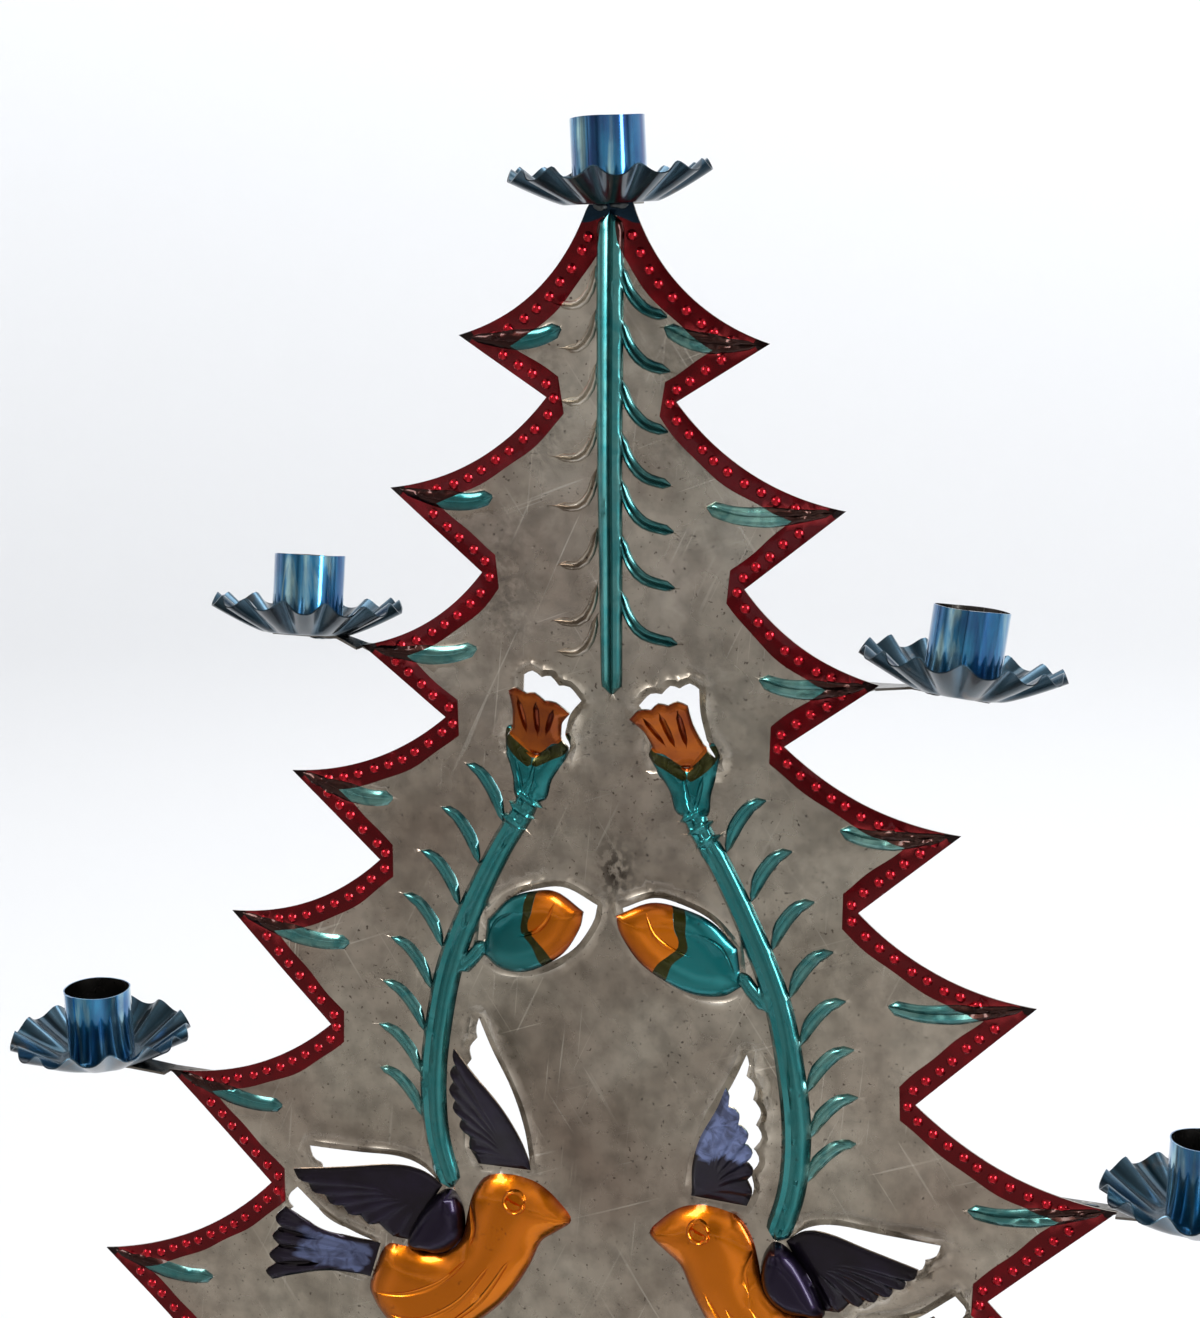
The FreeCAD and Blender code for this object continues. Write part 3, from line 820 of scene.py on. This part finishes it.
def ramp(tree, value, stops):
    """A colour ramp: stops are (position, colour)."""
    made = tree.nodes.new("ShaderNodeValToRGB")
    elements = made.color_ramp.elements
    while len(elements) < len(stops):
        elements.new(0.5)
    for element, (position, colour) in zip(elements, stops):
        element.position = position
        element.color = (*colour, 1)
    tree.links.new(value, made.inputs["Fac"])
    return made.outputs["Color"]


def grey(value):
    return (value, value, value)


MIX_SOCKETS = (0, 6, 7)     # a mix node's factor and its two colours


def mixed(tree, factor, first, second, blend="MIX"):
    """Two colours mixed by a factor. Each of the three is a plain value or a node's output."""
    made = tree.nodes.new("ShaderNodeMix")
    made.data_type = "RGBA"
    made.blend_type = blend
    for index, value in zip(MIX_SOCKETS, (factor, first, second)):
        if hasattr(value, "links"):
            tree.links.new(value, made.inputs[index])
        else:
            made.inputs[index].default_value = (*value, 1) if isinstance(value, tuple) else value
    return made.outputs[2]


def attribute(tree, name):
    made = tree.nodes.new("ShaderNodeAttribute")
    made.attribute_name = name
    return made.outputs["Fac"]


def bump(tree, shader, value, strength, distance=0.0002):
    made = tree.nodes.new("ShaderNodeBump")
    made.inputs["Strength"].default_value = strength
    made.inputs["Distance"].default_value = distance
    tree.links.new(value, made.inputs["Height"])
    tree.links.new(made.outputs["Normal"], shader.inputs["Normal"])


def scratches(tree, turn, scale, low, high):
    """Thin streaks: 1 on a scratch and 0 beside it."""
    streak = noise(tree, scale, 1.0, stretch=(1, 1, 0.02), turn=(0, turn, 0))
    return ramp(tree, streak, [(low, grey(0)), (high, grey(1))])


def tin_material(name, light, dark, stain, wear_and_sheen=(0.80, 0.76, 0.68)):
    """Bare tin gone dull: cloudy grey, brown patches, dark specks, scratches, and crests painted lighter,
    partly rubbed tin and partly a painted highlight.
    """
    made, tree, shader = make_material(name, 1.0, 0.36)
    clouds = ramp(tree, noise(tree, 24, 6, distortion=0.5), [(0.34, dark), (0.66, light)])
    patches = ramp(tree, noise(tree, 11, 6), [(0.42, grey(0)), (0.66, grey(0.8))])
    colour = mixed(tree, patches, clouds, stain)
    mottle = ramp(tree, noise(tree, 130, 8), [(0.34, grey(0.70)), (0.60, grey(1.0))])
    colour = mixed(tree, 1.0, colour, mottle, "MULTIPLY")
    specks = ramp(tree, noise(tree, 700, 2), [(0.66, grey(0)), (0.73, grey(0.8))])
    colour = mixed(tree, specks, colour, tuple(0.25 * x for x in stain))
    burn = mixed(tree, 1.0, attribute(tree, "burn"),
                 ramp(tree, noise(tree, 420, 4), [(0.42, grey(0)), (0.56, grey(1))]), "MULTIPLY")
    colour = mixed(tree, burn, colour, tuple(0.12 * x for x in stain))
    # Crests painted lighter in patches: partly rubbed tin, partly a painted highlight along the ridges.
    crests = ramp(tree, attribute(tree, "crest"), [(0.08, grey(0)), (0.5, grey(1.0))])
    worn_and_highlit = ramp(tree, noise(tree, 130, 3), [(0.40, grey(0)), (0.62, grey(0.75))])
    colour = mixed(tree, mixed(tree, 1.0, crests, worn_and_highlit, "MULTIPLY"), colour, wear_and_sheen)
    lines = scratches(tree, 0.45, 700, 0.69, 0.72)
    for turn, scale in ((-0.6, 800), (1.2, 750), (0.1, 900)):
        lines = mixed(tree, 1.0, lines, scratches(tree, turn, scale, 0.70, 0.73), "ADD")
    where = ramp(tree, noise(tree, 16, 3), [(0.45, grey(0)), (0.6, grey(0.45))])
    lines = mixed(tree, 1.0, lines, where, "MULTIPLY")
    colour = mixed(tree, lines, colour, wear_and_sheen)
    tree.links.new(colour, shader.inputs["Base Color"])
    shine = ramp(tree, noise(tree, 38, 6), [(0.35, grey(0.20)), (0.7, grey(0.36))])
    tree.links.new(shine, shader.inputs["Roughness"])
    bump(tree, shader, noise(tree, 240, 5), 0.25)
    return made


def lacquer_material(name, deep, bright, pale, roughness, coat):
    """See-through lacquer over tin: deeper where it pooled, paler where it is thin, and brighter on a crest,
    partly for thin lacquer and partly as a painted highlight.
    """
    made, tree, shader = make_material(name, 0.95, roughness, coat=coat, coat_roughness=0.06)
    # The crest brightens the colour: partly thinner lacquer, partly a painted highlight, as on the bead tops.
    crest = attribute(tree, "crest")
    cloud = noise(tree, 90, 4)
    uneven = tree.nodes.new("ShaderNodeMath")
    uneven.operation = "MULTIPLY_ADD"
    tree.links.new(cloud, uneven.inputs[0])
    uneven.inputs[1].default_value = 0.9
    uneven.inputs[2].default_value = -0.45
    depth = tree.nodes.new("ShaderNodeMath")
    depth.operation = "ADD"
    depth.use_clamp = True
    tree.links.new(crest, depth.inputs[0])
    tree.links.new(uneven.outputs[0], depth.inputs[1])
    colour = ramp(tree, depth.outputs[0], [(0.0, deep), (0.75, bright), (1.0, bright)])
    patchy = ramp(tree, noise(tree, 190, 4, distortion=1.0), [(0.36, grey(0.35)), (0.58, grey(1.0))])
    colour = mixed(tree, mixed(tree, 1.0, attribute(tree, "pale"), patchy, "MULTIPLY"), colour, pale)
    specks = ramp(tree, noise(tree, 500, 2), [(0.69, grey(0)), (0.78, grey(0.5))])
    colour = mixed(tree, specks, colour, deep)
    tree.links.new(colour, shader.inputs["Base Color"])
    bump(tree, shader, noise(tree, 160, 4), 0.16)
    return made


# Each lacquer: its deep colour, its bright colour on crests (partly a painted highlight), its rubbed colour
# (on the violet tail roots a painted sheen), roughness, strength of its clear coat, the height in mm at which
# its crests are brightest, and its slot.
LACQUERS = {
    "red": ((0.13, 0.0008, 0.004), (0.50, 0.004, 0.016), (0.6, 0.05, 0.06), 0.2, 0.35, 1.1, "lacquer_red"),
    "dark_red": ((0.010, 0.001, 0.001), (0.032, 0.006, 0.005), (0.05, 0.02, 0.015), 0.24, 0.35, 1.2,
                 "lacquer_red"),
    "teal": ((0.001, 0.035, 0.042), (0.005, 0.19, 0.205), (0.19, 0.38, 0.34), 0.22, 0.6, 1.9, "lacquer_teal"),
    "amber": ((0.20, 0.026, 0.0003), (0.68, 0.175, 0.001), (0.9, 0.6, 0.1), 0.22, 0.35, 3.0, "lacquer_amber"),
    "olive": ((0.006, 0.009, 0.001), (0.035, 0.036, 0.003), (0.1, 0.1, 0.03), 0.24, 0.35, 2.0,
              "lacquer_teal"),
    "violet": ((0.005, 0.002, 0.004), (0.015, 0.009, 0.028), (0.22, 0.28, 0.54), 0.28, 0.35, 1.8,
               "lacquer_violet"),
    "blue": ((0.004, 0.022, 0.045), (0.012, 0.07, 0.12), (0.2, 0.3, 0.4), 0.24, 0.3, 1.0, "cup_lacquer"),
}
TIN = tin_material("tin", (0.67, 0.62, 0.535), (0.46, 0.415, 0.35), (0.33, 0.25, 0.205))
TIN_BACK = tin_material("tin_back", (0.42, 0.40, 0.36), (0.27, 0.25, 0.22), (0.17, 0.135, 0.10))


# ---- meshes ----
def finish_piece(piece, nodes=(), sharp=38):
    """Common last steps of every piece of the object."""
    mesh = piece.data
    mesh.shade_smooth()
    mesh.set_sharp_from_angle(angle=math.radians(sharp))
    bpy.context.scene.collection.objects.link(piece)
    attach(piece, "root")
    if nodes:
        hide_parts(*nodes)
    return piece


def shell(name, tris, front, back, materials, values):
    """A closed thin mesh: the triangles' front, the same triangles behind, and walls round the edge."""
    used, index = np.unique(tris, return_inverse=True)
    tris = index.reshape(-1, 3)
    count = len(used)
    starts = tris.ravel()
    ends = np.roll(tris, -1, axis=1).ravel()
    rim = ~np.isin(starts.astype(np.int64) * count + ends, ends.astype(np.int64) * count + starts)
    a, b = starts[rim], ends[rim]
    faces = tris.tolist() + (tris[:, ::-1] + count).tolist()
    faces += np.stack([b, a, a + count, b + count], axis=1).tolist()
    mesh = bpy.data.meshes.new(name)
    mesh.from_pydata(np.vstack([front[used], back[used]]).tolist(), [], faces)
    for material in materials:
        mesh.materials.append(material)
    behind = np.zeros(len(faces), np.int32)
    behind[len(tris):2 * len(tris)] = len(materials) - 1
    mesh.polygons.foreach_set("material_index", behind)
    for key, value in values.items():
        layer = mesh.attributes.new(key, "FLOAT", "POINT")
        layer.data.foreach_set("value", np.tile(value[used], 2).astype(np.float32))
    mesh.validate()
    return bpy.data.objects.new(name, mesh)


tin_front, tin_back = placed(SHEET / 2), placed(-SHEET / 2)
crest = np.clip(embossed / 2.2, 0, 1)
# A scorched patch between the buds, and paler ones at the sides of the stem.
burn = sum(strength * np.exp(-(((flat - place) / size) ** 2).sum(1)) for place, size, strength in (
    ((2, 204), (5.5, 8.5), 1.0), ((-36, 118), (9, 20), 0.35), ((24, 62), (7, 18), 0.3),
    ((-22, 60), (8, 20), 0.3)))
panel = shell("tree_sheet", triangles, tin_front, tin_back, (TIN, TIN_BACK),
              {"crest": crest, "burn": burn})
finish_piece(panel, ("tree_panel",))

pale = np.zeros(len(flat))
for corner in range(3):
    np.maximum.at(pale, triangles[:, corner], pale_of)
for paint, (*look, crest_height, slot) in LACQUERS.items():
    mine = triangles[paint_of == paint]
    starts, ends = mine.ravel(), np.roll(mine, -1, axis=1).ravel()
    size = len(flat)
    lone = ~np.isin(starts.astype(np.int64) * size + ends, ends.astype(np.int64) * size + starts)
    thickness = np.full(size, SHEET / 2 + LACQUER)
    thickness[starts[lone]] = SHEET / 2 + 0.25 * LACQUER
    thickness[ends[lone]] = SHEET / 2 + 0.25 * LACQUER
    # Crest values set where each layer gets its painted highlight, partly thin lacquer as well.
    layer = shell("lacquer_" + paint, mine, placed(thickness), placed(SHEET / 2 - LACQUER),
                  (lacquer_material("lacquer_" + paint, *look),),
                  {"crest": np.clip(embossed / crest_height, 0, 1), "pale": pale})
    finish_piece(layer)

# ---- candle holders ----
CUP_R = 11.2
CUP_WALL = 0.4
CUP_HEIGHT = 25.0
PAN_R = 30.0
PAN_FLAT_R = 14.0
PAN_RISE = 9.0
PAN_SHEET = 0.4
PAN_FLUTES = 14
PAN_WAVE = 2.0
PAN_LIFT = PAN_SHEET / math.cos(math.atan2(PAN_RISE, PAN_R - PAN_FLAT_R))
PAN_STEPS = 12              # mesh steps round each flute


def strip_triangles(rings, count, closed, first=0):
    """Triangles between rings of count points each."""
    found = []
    for ring in range(rings - 1):
        for i in range(count if closed else count - 1):
            a = first + ring * count + i
            b = first + ring * count + (i + 1) % count
            found.append((a, b, b + count))
            found.append((a, b + count, a + count))
    return found


def grid_normals(points, triangles):
    """Unit normals of a triangle mesh at its points."""
    a, b, c = points[triangles].transpose(1, 0, 2)
    facing = np.cross(b - a, c - a)
    total = np.zeros_like(points)
    for corner in range(3):
        np.add.at(total, triangles[:, corner], facing)
    return total / np.maximum(np.linalg.norm(total, axis=1), 1e-12)[:, None]


def holder_matrix(mount):
    """The frame of one holder: its origin is the middle of the pan's underside, its Z the cup's axis."""
    axis = Vector(mount["axis"])
    middle = Vector(mount["pos_m"])
    origin = middle - axis * (PAN_LIFT + CUP_HEIGHT / 2) * MM
    turn = Vector((0, 0, 1)).rotation_difference(axis).to_matrix().to_4x4()
    return Matrix.Translation(origin) @ turn


def in_frame(matrix, points):
    m = np.array(matrix)
    return points * MM @ m[:3, :3].T + m[:3, 3]


def drip_pan(name, matrix, seed):
    """A fluted dish pressed from thin sheet, with a scalloped rim that was bent a little by hand."""
    rng = np.random.default_rng(seed)
    count = PAN_FLUTES * PAN_STEPS
    angle = 2 * math.pi * np.arange(count) / count
    flute = np.cos(PAN_FLUTES * angle) + 0.16 * np.cos(2 * PAN_FLUTES * angle)
    uneven = rng.uniform(0.82, 1.15, PAN_FLUTES)
    uneven = np.interp(angle * PAN_FLUTES / (2 * math.pi), np.arange(PAN_FLUTES + 1),
                       np.append(uneven, uneven[0]))
    sway = 0.5 * np.cos(2 * angle + rng.uniform(0, 6)) + 0.35 * np.cos(3 * angle + rng.uniform(0, 6))
    radii = [2, 5, 8, 11, 12.6, 13.4, 14.2, 15.2, 16.5, 18, 20, 22, 24, 26, 27.6, 28.8, 29.6, PAN_R]
    points = [np.zeros((1, 3))]
    crest = [np.zeros(1)]
    for radius in radii:
        share = max(0.0, (radius - PAN_FLAT_R) / (PAN_R - PAN_FLAT_R))
        swing = PAN_WAVE * share ** 0.8 * flute * uneven
        slope = math.atan2(PAN_RISE, PAN_R - PAN_FLAT_R) if share > 0 else 0.0
        reach = radius - swing * math.sin(slope) + 0.25 * share * np.cos(PAN_FLUTES * angle)
        high = PAN_RISE * share ** 1.08 + swing * math.cos(slope) + sway * share ** 2
        points.append(np.stack([reach * np.cos(angle), reach * np.sin(angle), high + 0 * angle], axis=1))
        crest.append(0.5 + 0.5 * flute * min(1, share * 3) / 1.16)
    points = np.vstack(points)
    crest = np.concatenate(crest)
    tris = [(0, 1 + i, 1 + (i + 1) % count) for i in range(count)]
    tris = np.array(tris + strip_triangles(len(radii), count, True, 1))
    normal = grid_normals(points, tris)
    normal *= np.sign(normal[:, 2:])
    middle = points + (0, 0, PAN_LIFT / 2)
    top = in_frame(matrix, middle + normal * PAN_SHEET / 2)
    under = in_frame(matrix, middle - normal * PAN_SHEET / 2)
    made = shell(name, fixed_winding(points, tris), top, under, (PAN_MATERIAL,), {"crest": crest})
    return finish_piece(made, (name.replace("pan_", "drip_pan_", 1),), 50)


def fixed_winding(points, tris):
    """Triangles all seen anticlockwise from above."""
    a, b, c = points[tris].transpose(1, 0, 2)
    up = np.cross(b - a, c - a)[:, 2] >= 0
    return np.where(up[:, None], tris, tris[:, ::-1])


def candle_cup(name, matrix, seed):
    """A cup rolled from a strip: its ends lap in a seam, and its lip isn't quite level."""
    rng = np.random.default_rng(seed)
    lap = math.radians(24)
    seam = rng.uniform(0, 2 * math.pi)
    around = np.linspace(0, 2 * math.pi + lap, 110)
    up = np.linspace(0, 1, 12)
    inner_r = CUP_R - CUP_WALL
    tuck = CUP_WALL * 0.98 * np.clip((around - 2 * math.pi + 0.12) / 0.12, 0, 1)
    phase = rng.uniform(0, 6, 3)
    points = []
    for share in up:
        oval = 0.12 * np.cos(2 * around + phase[0]) * share
        radius = inner_r + tuck + oval
        lip = 0.28 * np.cos(around + phase[1]) + 0.12 * np.cos(3 * around + phase[2])
        high = PAN_LIFT + share * (CUP_HEIGHT - 0.35 + lip)
        turn = around + seam
        points.append(np.stack([radius * np.cos(turn), radius * np.sin(turn), high], axis=1))
    points = np.vstack(points)
    tris = np.array(strip_triangles(len(up), len(around), False))
    out = points * (1, 1, 0)
    out /= np.linalg.norm(out, axis=1)[:, None]
    made = shell(name, tris, in_frame(matrix, points + out * CUP_WALL), in_frame(matrix, points),
                 (CUP_MATERIAL, CUP_INSIDE), {})
    return finish_piece(made, (name.replace("cup_", "candle_cup_", 1),), 50)


def solder(name, centre, size, seed):
    """A cooled lump of solder: a flattened, lumpy drop."""
    mesh = bpy.data.meshes.new(name)
    build = bmesh.new()
    bmesh.ops.create_icosphere(build, subdivisions=4, radius=1.0)
    for vertex in build.verts:
        p = vertex.co.copy()
        lump = 1 + 0.22 * turbulence(p * 1.4 + Vector((seed, 0, 0)), 3, False)
        p *= lump
        vertex.co = Vector(p[i] * size[i] for i in range(3)) * MM + centre
    build.to_mesh(mesh)
    build.free()
    mesh.materials.append(SOLDER_MATERIAL)
    return finish_piece(bpy.data.objects.new(name, mesh), (), 60)


def streaky_material(name, deep, bright, pale, roughness):
    """Lacquer run down in streaks: deep, bright and almost bare stretches side by side."""
    made, tree, shader = make_material(name, 0.95, roughness, coat=1.0, coat_roughness=0.05)
    streak = noise(tree, 210, 4, stretch=(1, 1, 0.10), distortion=0.3)
    colour = ramp(tree, streak, [(0.30, deep), (0.52, bright), (0.66, pale), (0.74, bright)])
    cloud = ramp(tree, noise(tree, 70, 4), [(0.35, grey(0.0)), (0.7, grey(0.75))])
    colour = mixed(tree, cloud, colour, deep)
    tree.links.new(colour, shader.inputs["Base Color"])
    bump(tree, shader, noise(tree, 110, 3, stretch=(1, 1, 0.2)), 0.25)
    return made


def pan_material():
    """Dark steel-blue lacquer, lighter along the crests of the flutes: partly rubbed, partly a painted
    highlight.
    """
    made, tree, shader = make_material("pan_lacquer", 0.95, 0.27, coat=0.3, coat_roughness=0.08)
    # Flute crests painted lighter: partly wear, partly a painted highlight.
    worn_and_highlit = ramp(tree, attribute(tree, "crest"), [(0.4, (0.004, 0.014, 0.024)), (0.95, (0.08, 0.155, 0.22))])
    cloud = ramp(tree, noise(tree, 85, 5), [(0.38, grey(0.0)), (0.7, grey(0.8))])
    colour = mixed(tree, cloud, worn_and_highlit, (0.012, 0.042, 0.062))
    rust = ramp(tree, noise(tree, 150, 5), [(0.62, grey(0)), (0.75, grey(0.7))])
    colour = mixed(tree, rust, colour, (0.10, 0.075, 0.055))
    tree.links.new(colour, shader.inputs["Base Color"])
    bump(tree, shader, noise(tree, 130, 4), 0.2)
    return made


CUP_MATERIAL = streaky_material("cup_lacquer", (0.004, 0.055, 0.22), (0.025, 0.27, 0.52),
                                (0.42, 0.68, 0.70), 0.15)
CUP_INSIDE = tin_material("cup_inside", (0.22, 0.21, 0.20), (0.12, 0.11, 0.10), (0.10, 0.08, 0.07))
PAN_MATERIAL = pan_material()
SOLDER_MATERIAL = tin_material("solder", (0.13, 0.16, 0.18), (0.05, 0.07, 0.09), (0.10, 0.08, 0.06))
STRIP_MATERIAL = tin_material("bare_tin", (0.34, 0.33, 0.31), (0.20, 0.19, 0.18), (0.16, 0.13, 0.10))
BASE_MATERIAL = streaky_material("base_paint", (0.004, 0.035, 0.06), (0.015, 0.11, 0.15),
                                 (0.10, 0.2, 0.22), 0.26)

HOLDERS = [(mount["name"].replace("candle_socket_", ""), holder_matrix(mount))
           for mount in frame["record"]["mounts"] if mount["kind"] == "bore"]
for seed, (place, matrix) in enumerate(HOLDERS):
    drip_pan("pan_" + place, matrix, 20 + seed)
    candle_cup("cup_" + place, matrix, 40 + seed)


def folded_tab(name, half_width, depth, level, slope, up):
    """A tab of the sheet folded back with a small round bend: up is 1 at the top and -1 at the foot."""
    radius = 0.9
    profile = [(0.0, -2 * radius)]
    for t in np.linspace(0, math.pi / 2, 7):
        profile.append((radius * (1 - math.cos(t)), radius * (math.sin(t) - 1)))
    profile.append((depth, 0.0))
    xs = np.linspace(-half_width, half_width, 9)
    grid = np.array([(x, y, level + up * z + x * slope) for y, z in profile for x in xs])
    tris = np.array(strip_triangles(len(profile), len(xs), False))
    push = grid_normals(grid, tris) * (SHEET / 2 + 0.02)
    made = shell(name, tris, (grid + push) * MM, (grid - push) * MM, (TIN_BACK,), {})
    finish_piece(made)


BASE_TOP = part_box("base_box")[1].z / MM
folded_tab("top_tab", NECK_HALF, TOP_TAB_DEPTH, TREE_TOP - SHEET / 2, NECK_LEAN / NECK_HALF, 1)
folded_tab("foot_tab", TRUNK_FOOT[0], FOOT_TAB_DEPTH, BASE_TOP + SHEET / 2, 0.0, -1)


def add_solder():
    """Lumps under the top pan, under each outer pan, behind each tip, on the braces and on the foot."""
    lumps = [((-3.2, -0.3, TREE_TOP - 0.8), (2.3, 1.0, 1.4)), ((2.8, -0.2, TREE_TOP - 0.4), (2.8, 0.9, 1.1)),
             ((0.5, 3.0, TREE_TOP + 0.2), (5.0, 3.6, 0.9))]
    for place, matrix in HOLDERS:
        if place == "top":
            continue
        low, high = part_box("candle_arm_" + place)
        side = math.copysign(1, low.x + high.x)
        inner = min(abs(low.x), abs(high.x)) / MM
        tip_x, tip_drop = min(TIPS, key=lambda tip: abs(tip[0] - ARM_LAP - inner))
        lumps.append(((side * (tip_x - 10), SHEET / 2 + 1.0, TREE_TOP - tip_drop - 1.6), (6.5, 1.1, 1.9)))
        under = matrix @ Vector((-6.5 * side * MM, 0, -0.35 * MM)) / MM
        lumps.append((tuple(under), (4.2, 4.6, 0.8)))
    for side in (1, -1):
        low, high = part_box("back_strut_right" if side > 0 else "back_strut_left")
        middle = (low.x + high.x) / 2 / MM
        lumps.append(((middle, SHEET / 2 + 1.0, high.z / MM - 3), (6.5, 0.9, 2.6)))
        lumps.append(((middle, high.y / MM - 4, BASE_TOP + 1.0), (6.0, 3.0, 0.8)))
        lumps.append(((side * 22, FOOT_TAB_DEPTH, BASE_TOP + 0.3), (6.5, 2.2, 0.9)))
    for seed, (centre, size) in enumerate(lumps):
        solder("solder_%02d" % (seed + 1), Vector(centre) * MM, size, seed * 3.7)


add_solder()
for node, piece in frame["nodes"].items():
    if node.startswith(("candle_arm", "back_strut")):
        piece.data.materials.clear()
        piece.data.materials.append(STRIP_MATERIAL)
    if node == "base_box":
        piece.data.materials.clear()
        piece.data.materials.append(BASE_MATERIAL)


# ---- stage and light ----
def revolved(name, profile, angles, closed, material):
    """A piece of the stage: a profile of (radius, height) turned through the angles."""
    count = len(angles)
    points = [(r * math.cos(a), r * math.sin(a), z) for r, z in profile for a in angles]
    faces = [(k + i, k + (i + 1) % count, k + count + (i + 1) % count, k + count + i)
             for k in range(0, (len(profile) - 1) * count, count)
             for i in range(count if closed else count - 1)]
    mesh = bpy.data.meshes.new(name)
    mesh.from_pydata(points, [], faces)
    mesh.shade_smooth()
    mesh.materials.append(material)
    made = bpy.data.objects.new(name, mesh)
    bpy.context.scene.collection.objects.link(made)
    return made


def stage_bowl():
    """A pale round floor that curves up into a wall all round, so that no horizon shows, painted darker
    towards the floor as a painted shade.
    """
    floor_r, bend_r, wall_top = 2.6, 1.6, 4.2
    profile = [(r, 0.0) for r in (0.001, 0.3, 0.8, 1.5, 2.2, floor_r)]
    profile += [(floor_r + bend_r * math.sin(t), bend_r * (1 - math.cos(t)))
                for t in np.linspace(0, math.pi / 2, 14)[1:]]
    profile.append((floor_r + bend_r, wall_top))
    made, tree, shader = make_material("stage", 0.0, 0.9)
    place = tree.nodes.new("ShaderNodeTexCoord")
    parts = tree.nodes.new("ShaderNodeSeparateXYZ")
    tree.links.new(place.outputs["Object"], parts.inputs["Vector"])
    # Painted shade: grey at the floor, lighter up the wall.
    tone = ramp(tree, parts.outputs["Z"], [(0.0, (0.72, 0.72, 0.725)), (0.9, (0.93, 0.935, 0.945))])
    tree.links.new(tone, shader.inputs["Base Color"])
    columns = 72
    revolved("stage", profile, np.arange(columns) * 2 * math.pi / columns, True, made)


def area_light(name, place, aim, width, height, power, colour):
    data = bpy.data.lights.new(name, "AREA")
    data.shape = "RECTANGLE"
    data.size = width
    data.size_y = height
    data.energy = power
    data.color = colour
    lamp = bpy.data.objects.new(name, data)
    lamp.location = place
    lamp.rotation_euler = (Vector(aim) - Vector(place)).to_track_quat("-Z", "Y").to_euler()
    bpy.context.scene.collection.objects.link(lamp)


def room_reflection():
    """The dim room in front, which only the shiny surfaces see: patchy, with lighter and darker places."""
    radius, lift = 3.3, 0.012
    profile = [(r, lift) for r in np.linspace(0.25, radius, 14)]
    profile += [(radius * math.cos(t), lift + radius * math.sin(t))
                for t in np.radians(np.linspace(4, 80, 20))]
    made = bpy.data.materials.new("room")
    made.use_nodes = True
    tree = made.node_tree
    tree.nodes.clear()
    glow = tree.nodes.new("ShaderNodeEmission")
    out = tree.nodes.new("ShaderNodeOutputMaterial")
    tree.links.new(glow.outputs[0], out.inputs["Surface"])
    tone = ramp(tree, noise(tree, 0.75, 2.0, distortion=0.6),
                [(0.36, (0.12, 0.113, 0.105)), (0.5, (0.39, 0.37, 0.345)), (0.66, (0.92, 0.90, 0.87))])
    tree.links.new(tone, glow.inputs["Color"])
    room = revolved("room", profile, np.radians(np.linspace(-195, 15, 41)), False, made)
    room.visible_camera = False
    room.visible_shadow = False
    room.visible_diffuse = False


stage_bowl()
room_reflection()
area_light("key", (-1.5, -1.6, 2.0), (0, 0, 0.4), 0.8, 0.8, 26, (1.0, 0.97, 0.93))
area_light("side", (1.9, -0.9, 1.2), (0, 0, 0.4), 0.36, 1.6, 28, (0.93, 0.97, 1.0))
area_light("top", (0.0, 0.9, 2.6), (0, 0, 0.3), 1.8, 1.2, 26, (0.96, 0.98, 1.0))
area_light("wall", (0.3, 1.6, 2.4), (-0.6, 4.0, 0.6), 1.4, 1.0, 22, (0.98, 0.99, 1.0))
world = bpy.data.worlds.new("studio")
world.use_nodes = True
world.node_tree.nodes["Background"].inputs["Color"].default_value = (0.95, 0.97, 1.0, 1)
world.node_tree.nodes["Background"].inputs["Strength"].default_value = 0.75
bpy.context.scene.world = world
bpy.context.scene.view_settings.view_transform = "Standard"

# ---- camera ----
CAMERA_PLACE = (0.2905, -0.7239, 0.6351)
CAMERA_DOWN = 0.19290       # radians below level
CAMERA_TURN = 0.38579       # radians to the left of straight ahead
CAMERA_LENS = 71.0
camera_data = bpy.data.cameras.new("camera")
camera_data.lens = CAMERA_LENS
camera_data.sensor_width = 36.0
camera = bpy.data.objects.new("camera", camera_data)
camera.location = CAMERA_PLACE
camera.rotation_euler = (math.pi / 2 - CAMERA_DOWN, 0, CAMERA_TURN)
bpy.context.scene.collection.objects.link(camera)
bpy.context.scene.camera = camera
